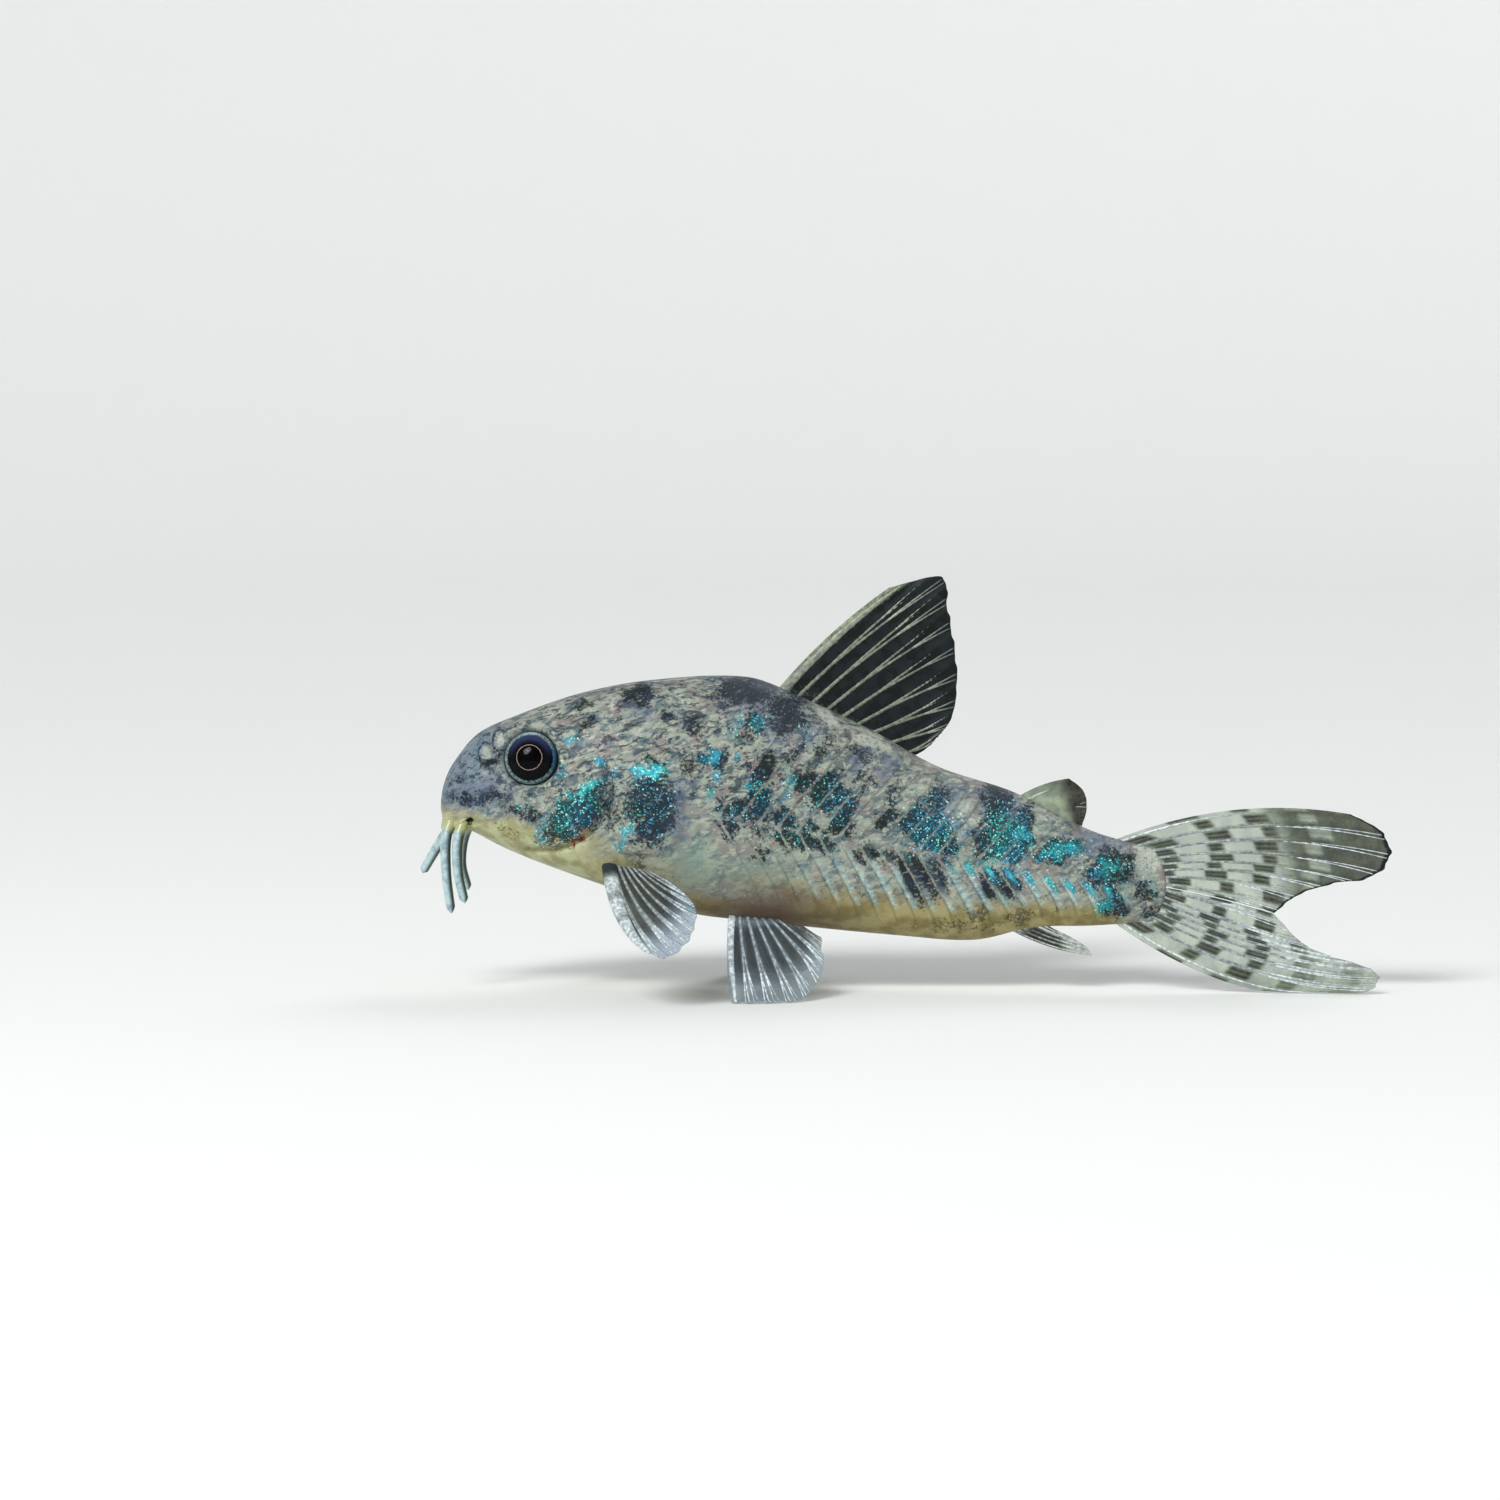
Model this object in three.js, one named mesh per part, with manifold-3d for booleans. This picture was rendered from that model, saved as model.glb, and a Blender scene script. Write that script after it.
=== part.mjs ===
// A peppered corydoras catfish at life size, a still model of the living fish at rest.
// It stands on its two pelvic fins and on the lower lobe of its tail fin, on one level floor.
// Millimetres. X runs from snout to tail, Z is up, and the fish's left side faces -Y.
// Until the last lines, x is measured from the tip of the snout and z from the floor.
import * as THREE from "three";
import { mergeVertices } from "three/addons/utils/BufferGeometryUtils.js";
import Module from "manifold-3d";

const wasm = await Module();
wasm.setup();
const { Vector3 } = THREE;
const LEFT = 1;
const RIGHT = -1;

// Driving dimensions of the body: each line is a list of [distance from the snout, value].
const FISH_LENGTH = 60;
const FLESH_LENGTH = 45.2;
const TAIL_BULGE = 0.8;
const SNOUT_HEIGHT = 11.6;
const BACK_LINE = [
  [0, SNOUT_HEIGHT], [0.38, 13.6], [1.14, 14.9], [2.4, 16.3], [5, 17.5], [9.5, 19], [14, 19.75],
  [19.4, 19.9], [22.3, 18.9], [27.4, 16.5], [31.6, 14.2], [36.4, 12.6], [41.4, 10.15], [FLESH_LENGTH, 9.15],
];
const BELLY_LINE = [
  [0, SNOUT_HEIGHT], [0.6, 10.5], [1.9, 10.15], [4.2, 9], [9.5, 7], [16, 4.9], [20, 4.4],
  [29.3, 3.45], [34, 3.2], [37.6, 4], [41.4, 4.15], [FLESH_LENGTH, 4.45],
];
const SEAM_LINE = [
  [0, SNOUT_HEIGHT], [2, 12], [6, 11.6], [10, 11.6], [16.6, 11.6], [23, 10.4], [29.3, 9.2], [35.7, 8.1],
  [42, 7], [FLESH_LENGTH, 6.8],
];
const HALF_WIDTH_LINE = [
  [0, 0], [0.5, 1.3], [1.5, 2.2], [3, 3.1], [5.8, 4.2], [9, 5.1], [12.5, 5.5], [16, 5.4], [20, 4.9],
  [25, 4], [30, 3.2], [36, 2.3], [42, 1.4], [FLESH_LENGTH, 0.75],
];
const ROOF_ROUNDNESS = [[0, 2], [3, 2.5], [9, 2.5], [18, 2.05], [FLESH_LENGTH, 2]];
const KEEL_ROUNDNESS = [[0, 2], [3, 2.4], [12, 2.7], [30, 2.6], [38, 2.1], [FLESH_LENGTH, 2]];
const TAIL_SWING = 4;
const SWING_START = 22;
const BODY_RINGS = 20;
const SMALLEST = 0.02;

// What parts the body, and the clear space between pieces.
const GAP = 0.3;
const GILL_LINE = [[17.2, 22], [15.6, 19.9], [12.9, 16.6], [11.3, 13.6], [10.6, 10.4], [10.2, 7], [10, 4]];
const VENT_LINE = [[39.5, 22], [33.9, 13.4], [31.4, 8.9], [33.3, 5.2], [34.2, 3], [34.2, 0]];

const EYE_AT = [5.84, 15];
const EYE_RADIUS = 1.78;
const EYE_DEPTH = 1.05;
const EYE_SINK = 0.5;
const RIM_RADIUS = 0.24;

// Scutes: two rows of bony plates on each flank, which meet along the seam and lean back from it.
// Their reach is the angle round the body, in half turns from the back, where each row ends.
const SCUTES = 22;
const SCUTE_ROW = [16.4, 44];
const SCUTE_STEP = 0.26;
const STEP_SLOPE = 0.1;
const UPPER_LEAN = 0.62;
const LOWER_LEAN = 0.5;
const LEAN_GROWS = [8, 16.4];
const LEAN_FADES = [41, FLESH_LENGTH];
const UPPER_REACH = [0.14, 0.485];
const LOWER_REACH = [0.515, 0.79];
const ROUND = [0, 0.07, 0.14, 0.21, 0.28, 0.35, 0.42, 0.485, 0.5, 0.515, 0.58, 0.65, 0.72, 0.79, 0.89];

// Plates of bone on the head and shoulder, between a front and a rear line of [x, z].
const GILL_COVER = {
  front: [[9.9, 14.7], [8.5, 13.7], [7.1, 12.3], [6.1, 10.9], [6.2, 9.8]],
  rear: [[10.5, 14.5], [10.8, 13.2], [10.3, 11.5], [9, 10.1], [7, 9.4]],
};
const SHOULDER_PLATE = {
  front: [[12, 14.6], [11.8, 13], [11.4, 11.2], [11.4, 9.3]],
  rear: [[13.6, 15], [15.3, 13.4], [15.6, 11.2], [14.6, 9.1]],
};
const PLATE_RISE = 0.3;
const PLATE_ROOT = 0.7;

// Nostrils and mouth, by their places on the skin.
const FRONT_NOSTRIL = [3.05, 15.2];
const REAR_NOSTRIL = [3.95, 16];
const NOSTRIL_RADIUS = 0.34;
const MOUTH_FRONT = 0.75;
const MOUTH_CORNER = 1.9;
const MOUTH_SPREAD = 0.3 * Math.PI;
const LIP_RADIUS = 0.3;

// Barbels: points of [x, distance from the middle, z], from the corner of the mouth to the tip.
const BARBEL_RADIUS = [0.3, 0.17];
const BARBELS = [
  ["barbel_upper_left", LEFT, [[1.1, 1.2, 10.7], [0.55, 1.5, 9.7], [0.45, 1.65, 7.6], [0.75, 1.6, 5.1]]],
  ["barbel_lower_left", LEFT, [[1.9, 1.5, 10.7], [1.4, 1.85, 9.6], [1.2, 2.15, 7.6], [1.7, 2.3, 5.9]]],
  ["barbel_upper_right", RIGHT, [[1.1, 1.2, 10.7], [0.3, 1.6, 9.7], [-0.4, 1.9, 8.6], [-1.1, 2.2, 7.4]]],
  ["barbel_lower_right", RIGHT, [[1.9, 1.5, 10.7], [1.4, 1.9, 9.6], [1.2, 2.3, 7.8], [1.6, 2.5, 6.2]]],
];

// Fins: a sheet of rays from a root to an edge, both lists of [x, distance from the middle, z]
// from the first ray to the last. The bulge bends the first ray and the last one half way out.
const MEMBRANE = 0.26;
const RAY = 0.37;
const SPINE = 0.46;
const THIN_EDGE = 0.2;
const TIP_SHARE = 0.6;
const ROOT_DEPTH = 0.7;
const MEMBRANE_REACH = 0.98;
const FINS = {
  dorsal_fin: {
    rays: 9,
    rows: 6,
    root: [21.1, 23, 25, 27, 29.4].map((x) => [x, 0, "back"]),
    edge: [[28.5, 0, 25.6], [31.9, 0, 26.2], [32.2, 0, 24.3], [32.6, 0, 22], [32.8, 0, 19.6],
      [32.4, 0, 17.2], [31.2, 0, 15.7]],
    bulge: [[-0.5, 0, 0.5], [0.3, 0, -0.2]],
  },
  adipose_fin: {
    rays: 3,
    rows: 5,
    root: [36.2, 37.6, 39, 40.3].map((x) => [x, 0, "back"]),
    edge: [[39.9, 0, 13.5], [40.8, 0, 12.7], [41, 0, 11.6], [40.7, 0, 10.5]],
    bulge: [[-0.2, 0, 0.5], [0, 0, 0]],
  },
  anal_fin: {
    rays: 6,
    rows: 6,
    root: [35.5, 36.2, 37, 37.8].map((x) => [x, 0, "belly"]),
    edge: [[41.4, 0, 2.2], [41.1, 0, 2.7], [40.4, 0, 3.2], [39.6, 0, 3.6]],
    bulge: [[0, 0, -0.7], [0, 0, -0.2]],
  },
  caudal_fin_upper: {
    rays: 8,
    rows: 7,
    root: [[42, 0, 9.3], [44.2, 0, 8.9], [45, 0, 8.2], [45.2, 0, 7.5], [45.3, 0, 6.95]],
    edge: [[57.6, 0, 11.4], [59.5, 0, 10.3], [60, 0, 8.8], [58.9, 0, 7.5], [56.4, 0, 7], [54.2, 0, 6.2],
      [52.8, 0, 5.3]],
    bulge: [[0, 0, 2.4], [0, 0, 0.3]],
  },
  caudal_fin_lower: {
    rays: 8,
    rows: 7,
    root: [[42, 0, 4.9], [44.2, 0, 5.1], [45, 0, 5.5], [45.2, 0, 6.1], [45.3, 0, 6.55]],
    edge: [[57.4, 0, -0.25], [59.1, 0, 0.5], [59.3, 0, 1.3], [58.2, 0, 1.9], [56.4, 0, 2.4],
      [54.6, 0, 3.2], [52.9, 0, 4.8]],
    bulge: [[0, 0, -3.2], [0, 0, 0.3]],
  },
  pectoral_fin: {
    rays: 9,
    rows: 6,
    root: [[10.7, 4.1, 8.6], [11.4, 4.3, 8.5], [12.2, 4.4, 8.3], [12.9, 4.4, 8.1]],
    edge: [[13.2, 12, 3.6], [14.5, 13, 3.3], [15.7, 12.4, 4.1], [16.2, 11.2, 5], [16.3, 9.6, 6],
      [15.6, 8, 6.8], [14.6, 6.8, 7.4]],
    bulge: [[-0.9, 1, -1.3], [0.2, 0, 0]],
  },
  pelvic_fin: {
    rays: 7,
    rows: 6,
    root: [[18.4, 2.2, 5.1], [19.4, 2.2, 5], [20.3, 2.1, 5], [21.1, 2, 4.9]],
    edge: [[18.5, 8.8, -0.3], [19.6, 9.1, -0.4], [21, 8.9, -0.35], [22.4, 8.3, -0.1], [23.4, 7.4, 0.5],
      [24.2, 6, 1.7], [24.3, 5, 2.7]],
    bulge: [[-0.5, 0.5, 0.5], [0.3, 0, 0]],
  },
};

// A smooth line through [x, value] pairs. It runs on the square root of x, so that it can leave
// the snout's tip upright, as a blunt nose does.
function smoothLine(pairs) {
  const at = pairs.map(([x]) => Math.sqrt(x));
  const slope = pairs.map((_, i) => {
    const before = Math.max(i - 1, 0);
    const after = Math.min(i + 1, pairs.length - 1);
    return (pairs[after][1] - pairs[before][1]) / (at[after] - at[before]);
  });
  return (x) => {
    const r = Math.sqrt(THREE.MathUtils.clamp(x, 0, pairs[pairs.length - 1][0]));
    let i = at.length - 2;
    while (i > 0 && r < at[i]) i -= 1;
    const span = at[i + 1] - at[i];
    const t = (r - at[i]) / span;
    const start = (1 + 2 * t) * (1 - t) ** 2 * pairs[i][1] + t * (1 - t) ** 2 * span * slope[i];
    const end = t * t * (3 - 2 * t) * pairs[i + 1][1] + t * t * (t - 1) * span * slope[i + 1];
    return start + end;
  };
}

const backAt = smoothLine(BACK_LINE);
const bellyAt = smoothLine(BELLY_LINE);
const seamAt = smoothLine(SEAM_LINE);
const halfWidthAt = smoothLine(HALF_WIDTH_LINE);
const roofAt = smoothLine(ROOF_ROUNDNESS);
const keelAt = smoothLine(KEEL_ROUNDNESS);

// The tail swings towards the fish's left, by a parabola that starts at mid-body.
function swing(x) {
  const t = Math.max(0, (x - SWING_START) / (FISH_LENGTH - SWING_START));
  return -TAIL_SWING * t * t;
}

// A point of the bare skin, before the swing. The angle is 0 on the back, a quarter turn on the
// left seam and half a turn on the belly. Each section is a superellipse, rounder above than below.
function barePoint(x, angle) {
  const up = Math.cos(angle);
  const side = Math.sin(angle);
  const power = 2 / (up > 0 ? roofAt(x) : keelAt(x));
  const reach = up > 0 ? backAt(x) - seamAt(x) : seamAt(x) - bellyAt(x);
  const y = -halfWidthAt(x) * Math.sign(side) * Math.abs(side) ** power;
  return new Vector3(x, y, seamAt(x) + reach * Math.sign(up) * Math.abs(up) ** power);
}

// The outward normal of the bare skin, from two short steps across it.
function normalAt(x, angle) {
  const step = 0.02;
  const near = THREE.MathUtils.clamp(x, step * 2, FLESH_LENGTH - step * 2);
  const along = barePoint(near + step, angle).sub(barePoint(near - step, angle));
  const around = barePoint(near, angle + step).sub(barePoint(near, angle - step));
  return around.cross(along).normalize();
}

// A point of the skin raised along its normal, with the tail's swing.
function skinPoint(x, angle, raise = 0) {
  const p = barePoint(x, angle).addScaledVector(normalAt(x, angle), raise);
  p.y += swing(x);
  return p;
}

// The point of one flank's skin that is seen at x and z from that side.
function skinAt(x, z, side, raise = 0) {
  const above = z > seamAt(x);
  const reach = above ? backAt(x) - seamAt(x) : seamAt(x) - bellyAt(x);
  const share = Math.min(1, Math.abs(z - seamAt(x)) / reach);
  const up = share ** ((above ? roofAt(x) : keelAt(x)) / 2) * (above ? 1 : -1);
  return skinPoint(x, side * Math.acos(up), raise);
}

// A solid from a closed three.js geometry, with its shared corners merged.
function solidOf(geometry) {
  const bare = geometry.clone();
  bare.deleteAttribute("normal");
  bare.deleteAttribute("uv");
  const merged = mergeVertices(bare, 1e-4);
  return new wasm.Manifold(
    new wasm.Mesh({
      numProp: 3,
      vertProperties: new Float32Array(merged.attributes.position.array),
      triVerts: new Uint32Array(merged.index.array),
    }),
  );
}

// A solid from corner points and triangles that all wind one way, turned right way out.
function solidFrom(points, faces) {
  let volume = 0;
  for (let i = 0; i < faces.length; i += 3) {
    const [a, b, c] = [points[faces[i]], points[faces[i + 1]], points[faces[i + 2]]];
    volume += a.dot(new Vector3().crossVectors(b, c));
  }
  if (volume < 0) faces.reverse();
  const geometry = new THREE.BufferGeometry();
  const numbers = points.flatMap((p) => [p.x, p.y, p.z]);
  geometry.setAttribute("position", new THREE.Float32BufferAttribute(numbers, 3));
  geometry.setIndex(faces);
  return solidOf(geometry);
}

// A closed skin over rings of points, with a point at each end.
function skinOver(first, rings, last) {
  const count = rings[0].length;
  const points = [first, ...rings.flat(), last];
  const at = (i, j) => 1 + i * count + (j % count);
  const faces = [];
  for (let j = 0; j < count; j += 1) {
    faces.push(0, at(0, j + 1), at(0, j));
    faces.push(points.length - 1, at(rings.length - 1, j), at(rings.length - 1, j + 1));
    for (let i = 0; i < rings.length - 1; i += 1) {
      faces.push(at(i, j), at(i, j + 1), at(i + 1, j + 1));
      faces.push(at(i, j), at(i + 1, j + 1), at(i + 1, j));
    }
  }
  return solidFrom(points, faces);
}

// How far back from the seam a line that leans with the scutes lies, at an angle round the body.
function leanAt(x, angle) {
  const turn = Math.abs(angle) / Math.PI;
  const held = Math.PI * THREE.MathUtils.clamp(turn, UPPER_REACH[0], LOWER_REACH[1]);
  const rise = barePoint(x, held).z - seamAt(x);
  const grown = THREE.MathUtils.smoothstep(x, ...LEAN_GROWS);
  const faded = 1 - THREE.MathUtils.smoothstep(x, ...LEAN_FADES);
  return Math.abs(rise) * (rise > 0 ? UPPER_LEAN : LOWER_LEAN) * grown * faded;
}

// How proud a scute stands at its rear line: most at the middle of the row, nothing past its ends.
function proudAt(angle) {
  const turn = Math.abs(angle) / Math.PI;
  const [start, end] = turn < 0.5 ? UPPER_REACH : LOWER_REACH;
  const share = (turn - start) / (end - start);
  return share < 0 || share > 1 ? 0 : SCUTE_STEP * Math.sin(Math.PI * (0.1 + 0.8 * share));
}

// The rings of the flesh, as [place on the seam, share of the step that its scute has there].
function ringPlaces() {
  const pitch = (SCUTE_ROW[1] - SCUTE_ROW[0]) / SCUTES;
  const places = [];
  for (let i = 1; i < BODY_RINGS; i += 1) {
    places.push([SCUTE_ROW[0] * (i / BODY_RINGS) ** 1.5, 0]);
  }
  for (let i = 0; i < SCUTES; i += 1) {
    places.push([SCUTE_ROW[0] + i * pitch, 0], [SCUTE_ROW[0] + (i + 1) * pitch - STEP_SLOPE, 1]);
  }
  return [...places, [SCUTE_ROW[1], 0], [FLESH_LENGTH, 0]];
}

// The whole flesh, with its scutes raised in its own surface. Its end bulges into the tail fin.
function fleshSolid(raise) {
  const mirrored = ROUND.slice(1).reverse().map((turn) => -turn);
  const around = [...ROUND, 1, ...mirrored].map((turn) => turn * Math.PI);
  const rings = ringPlaces().map(([x, share]) =>
    around.map((angle) => {
      const p = skinPoint(x + leanAt(x, angle), angle, raise + share * proudAt(angle));
      return x < FLESH_LENGTH ? p : p.setX(x + raise + TAIL_BULGE * Math.sin(angle) ** 2);
    }),
  );
  const snout = new Vector3(-raise, 0, SNOUT_HEIGHT);
  const end = FLESH_LENGTH + TAIL_BULGE + raise;
  const tail = new Vector3(end, swing(FLESH_LENGTH), seamAt(FLESH_LENGTH));
  return skinOver(snout, rings, tail);
}

// A closed slab between two like grids of points, cut into triangles alike on both faces.
function slabSolid(outer, inner) {
  const rows = outer.length;
  const columns = outer[0].length;
  const points = [...outer.flat(), ...inner.flat()];
  const top = (i, j) => i * columns + j;
  const low = (i, j) => (rows + i) * columns + j;
  const faces = [];
  for (let i = 0; i < rows - 1; i += 1) {
    for (let j = 0; j < columns - 1; j += 1) {
      faces.push(top(i, j), top(i + 1, j), top(i + 1, j + 1), top(i, j), top(i + 1, j + 1), top(i, j + 1));
      faces.push(low(i, j), low(i + 1, j + 1), low(i + 1, j), low(i, j), low(i, j + 1), low(i + 1, j + 1));
    }
  }
  const wall = (a, b) => faces.push(top(...a), top(...b), low(...b), top(...a), low(...b), low(...a));
  for (let i = 0; i < rows - 1; i += 1) {
    wall([i + 1, 0], [i, 0]);
    wall([i, columns - 1], [i + 1, columns - 1]);
  }
  for (let j = 0; j < columns - 1; j += 1) {
    wall([0, j], [0, j + 1]);
    wall([rows - 1, j + 1], [rows - 1, j]);
  }
  return solidFrom(points, faces);
}

// A round tube along a curve, with a radius for each share of its length and pointed ends.
function tubeSolid(curve, radiusAt, steps, sides) {
  const frames = curve.computeFrenetFrames(steps, false);
  const rings = [];
  for (let i = 0; i <= steps; i += 1) {
    const ring = [];
    for (let j = 0; j < sides; j += 1) {
      const turn = (j / sides) * 2 * Math.PI;
      const radius = radiusAt(i / steps);
      const p = curve.getPointAt(i / steps);
      p.addScaledVector(frames.normals[i], Math.cos(turn) * radius);
      ring.push(p.addScaledVector(frames.binormals[i], Math.sin(turn) * radius));
    }
    rings.push(ring);
  }
  const before = curve.getPointAt(0).addScaledVector(curve.getTangentAt(0), -radiusAt(0) / 2);
  const after = curve.getPointAt(1).addScaledVector(curve.getTangentAt(1), radiusAt(1));
  return skinOver(before, rings, after);
}

// A ball flattened along an axis, with one radius across the axis and another along it.
function ballSolid(centre, axis, across, along, segments) {
  const ball = new THREE.SphereGeometry(1, segments, segments / 2);
  ball.rotateX(Math.PI / 2);
  ball.scale(across, across, along);
  ball.applyQuaternion(new THREE.Quaternion().setFromUnitVectors(new Vector3(0, 0, 1), axis));
  ball.translate(centre.x, centre.y, centre.z);
  return solidOf(ball);
}

// A region of the fish seen from the side: an outline of [x, z] carried right through it.
function sideRegion(outline) {
  const through = 40;
  const shape = new THREE.Shape(outline.map(([x, z]) => new THREE.Vector2(x, z)));
  const block = new THREE.ExtrudeGeometry(shape, { depth: 2 * through, bevelEnabled: false });
  block.rotateX(Math.PI / 2);
  block.translate(0, through, 0);
  return solidOf(block);
}

function joined(solids) {
  return wasm.Manifold.union(solids);
}

// The largest closed surface of a solid, without loose scraps and sealed hollows.
function largestOf(solid) {
  const bodies = solid.decompose();
  return bodies.reduce((most, body) => (body.volume() > most.volume() ? body : most));
}

// A low plate of bone that swells out of the skin between its front and rear lines.
function plateSolid({ front, rear }, side) {
  const rows = 7;
  const columns = 5;
  const curve = (line) => new THREE.SplineCurve(line.map(([x, z]) => new THREE.Vector2(x, z)));
  const [near, far] = [curve(front), curve(rear)];
  const outer = [];
  const inner = [];
  for (let i = 0; i <= rows; i += 1) {
    const [a, b] = [near.getPoint(i / rows), far.getPoint(i / rows)];
    const row = Array.from({ length: columns + 1 }, (_, j) => a.clone().lerp(b, j / columns));
    const arch = Math.sin((Math.PI * i) / rows);
    const swell = (j) => Math.sqrt(arch * Math.sin((Math.PI * j) / columns) + 1e-9);
    outer.push(row.map((p, j) => skinAt(p.x, p.y, side, PLATE_RISE * swell(j) - 0.06)));
    inner.push(row.map((p) => skinAt(p.x, p.y, side, -PLATE_ROOT)));
  }
  return slabSolid(outer, inner);
}

function eyeAxis(side) {
  return new Vector3(-0.12, -side, 0.16).normalize();
}

function eyeSolid(side, spare = 0) {
  const centre = skinAt(...EYE_AT, side).addScaledVector(eyeAxis(side), -EYE_SINK);
  return ballSolid(centre, eyeAxis(side), EYE_RADIUS + spare, EYE_DEPTH + spare, 18);
}

// The rim of skin round the eye, a ring tube that the socket then cuts open.
function rimSolid(side) {
  const reach = EYE_RADIUS + GAP + RIM_RADIUS / 2;
  const around = Array.from({ length: 17 }, (_, i) => {
    const turn = (i / 16) * 2 * Math.PI;
    return skinAt(EYE_AT[0] + reach * Math.cos(turn), EYE_AT[1] + reach * Math.sin(turn), side, 0);
  });
  const arcs = [around.slice(0, 9), around.slice(8)];
  return joined(
    arcs.map((arc) => tubeSolid(new THREE.CatmullRomCurve3(arc), () => RIM_RADIUS, 8, 5)),
  );
}

// The mouth runs round the underside of the snout, from one corner by the front to the other.
function mouthCurve(shift, raise) {
  const points = Array.from({ length: 9 }, (_, i) => {
    const turn = (i / 4 - 1) * MOUTH_SPREAD;
    const x = MOUTH_FRONT + (MOUTH_CORNER - MOUTH_FRONT) * (turn / MOUTH_SPREAD) ** 2 + shift;
    return skinPoint(x, Math.PI + turn, raise);
  });
  return new THREE.CatmullRomCurve3(points);
}

function lipSolids(spare = 0) {
  const radiusAt = (t) => (LIP_RADIUS + spare) * (0.7 + 0.3 * Math.sin(Math.PI * t));
  return [-0.32, 0.42].map((shift) => tubeSolid(mouthCurve(shift, 0), radiusAt, 9, 6));
}

function nostrilSolids(side) {
  const straight = new Vector3(-0.5, -side, 0.6).normalize();
  return [FRONT_NOSTRIL, REAR_NOSTRIL].map(([x, z]) =>
    ballSolid(skinAt(x, z, side, 0.05), straight, NOSTRIL_RADIUS, NOSTRIL_RADIUS * 1.3, 8),
  );
}

// The flap of skin that stands between the two nostrils of one side.
function flapSolid(side) {
  const x = (FRONT_NOSTRIL[0] + REAR_NOSTRIL[0]) / 2;
  const z = (FRONT_NOSTRIL[1] + REAR_NOSTRIL[1]) / 2;
  const across = new Vector3(REAR_NOSTRIL[0] - FRONT_NOSTRIL[0], 0, REAR_NOSTRIL[1] - FRONT_NOSTRIL[1]);
  return ballSolid(skinAt(x, z, side, 0.05), across.normalize(), 0.42, 0.16, 8);
}

// A point list of [x, distance from the middle, z] on one side, with the tail's swing. A height
// given as the back or the belly lies a little under the skin there.
function placed(line, side) {
  return line.map(([x, out, z]) => {
    const heights = { back: backAt(x) - ROOT_DEPTH, belly: bellyAt(x) + ROOT_DEPTH };
    return new Vector3(x, -side * out + swing(x), heights[z] ?? z);
  });
}

// A fin's sheet, as a function: u runs from the first ray to the last and t from root to edge.
function finSheet(fin, side) {
  const root = new THREE.CatmullRomCurve3(placed(fin.root, side));
  const edge = new THREE.CatmullRomCurve3(placed(fin.edge, side));
  const [first, last] = fin.bulge.map(([x, out, z]) => new Vector3(x, -side * out, z));
  return (u, t) => {
    const [from, to] = [root.getPoint(u), edge.getPoint(u)];
    const middle = from.clone().add(to).multiplyScalar(0.5).add(first.clone().lerp(last, u));
    return new THREE.QuadraticBezierCurve3(from, middle, to).getPoint(t);
  };
}

// Where a fin's columns lie and how thick they are: three for each ray, so that the ray stands
// out of the membrane as a ridge, and one along each outer edge.
function finColumns(rays) {
  const margin = 0.35;
  const width = 0.24;
  const span = rays - 1 + 2 * margin;
  const columns = [[0, THIN_EDGE, 0]];
  for (let ray = 0; ray < rays; ray += 1) {
    const ridge = ray === 0 ? SPINE : RAY;
    const middle = ray + margin;
    columns.push([(middle - width) / span, MEMBRANE, 0], [middle / span, ridge, 1]);
    columns.push([(middle + width) / span, MEMBRANE, 0]);
  }
  return [...columns, [1, THIN_EDGE, 0]];
}

// A fin as a slab round its sheet. The rays reach a little past the membrane between them.
function finSolid(fin, side) {
  const sheet = finSheet(fin, side);
  const outer = [];
  const inner = [];
  const step = 0.004;
  for (let i = 0; i <= fin.rows; i += 1) {
    const [top, bottom] = [[], []];
    for (const [u, half, ridge] of finColumns(fin.rays)) {
      const t = (i / fin.rows) * (ridge ? 1 : MEMBRANE_REACH);
      const thick = half * (1 - (1 - TIP_SHARE) * t * t);
      const [low, high] = [Math.max(u - step, 0), Math.min(u + step, 1)];
      const across = sheet(high, t).sub(sheet(low, t));
      const [near, far] = [Math.max(t - step, 0), Math.min(t + step, 1)];
      const along = sheet(u, far).sub(sheet(u, near));
      const normal = across.cross(along).normalize();
      const middle = sheet(u, t);
      top.push(middle.clone().addScaledVector(normal, thick));
      bottom.push(middle.clone().addScaledVector(normal, -thick));
    }
    outer.push(top);
    inner.push(bottom);
  }
  return slabSolid(outer, inner);
}

function shifted(line, by) {
  return line.map(([x, z]) => [x + by, z]);
}

// The body's three regions, parted by the gap along the gill opening and over the vent.
const beforeGill = shifted(GILL_LINE, -GAP / 2);
const behindGill = shifted(GILL_LINE, GAP / 2);
const beforeVent = shifted(VENT_LINE, -GAP / 2);
const behindVent = shifted(VENT_LINE, GAP / 2);
const headRegion = sideRegion([...beforeGill, [-5, 4], [-5, 22]]);
const trunkRegion = sideRegion([...behindGill, [10, 0], ...beforeVent.reverse()]);
const tailRegion = sideRegion([...behindVent, [50, 0], [50, 22]]);
const aboveFloor = sideRegion([[-10, 0], [80, 0], [80, 40], [-10, 40]]);

const flesh = fleshSolid(0);
const clearance = fleshSolid(GAP);

function headSolid() {
  const onSide = (side) => [plateSolid(GILL_COVER, side), rimSolid(side), flapSolid(side)];
  const raised = [LEFT, RIGHT].flatMap(onSide);
  const cuts = [LEFT, RIGHT].flatMap((side) => [eyeSolid(side, GAP), ...nostrilSolids(side)]);
  const whole = joined([flesh, ...raised, ...lipSolids()]);
  return whole.subtract(joined(cuts)).intersect(headRegion);
}

const shoulders = [LEFT, RIGHT].map((side) => plateSolid(SHOULDER_PLATE, side));
const plated = joined([flesh, ...shoulders]);

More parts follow.
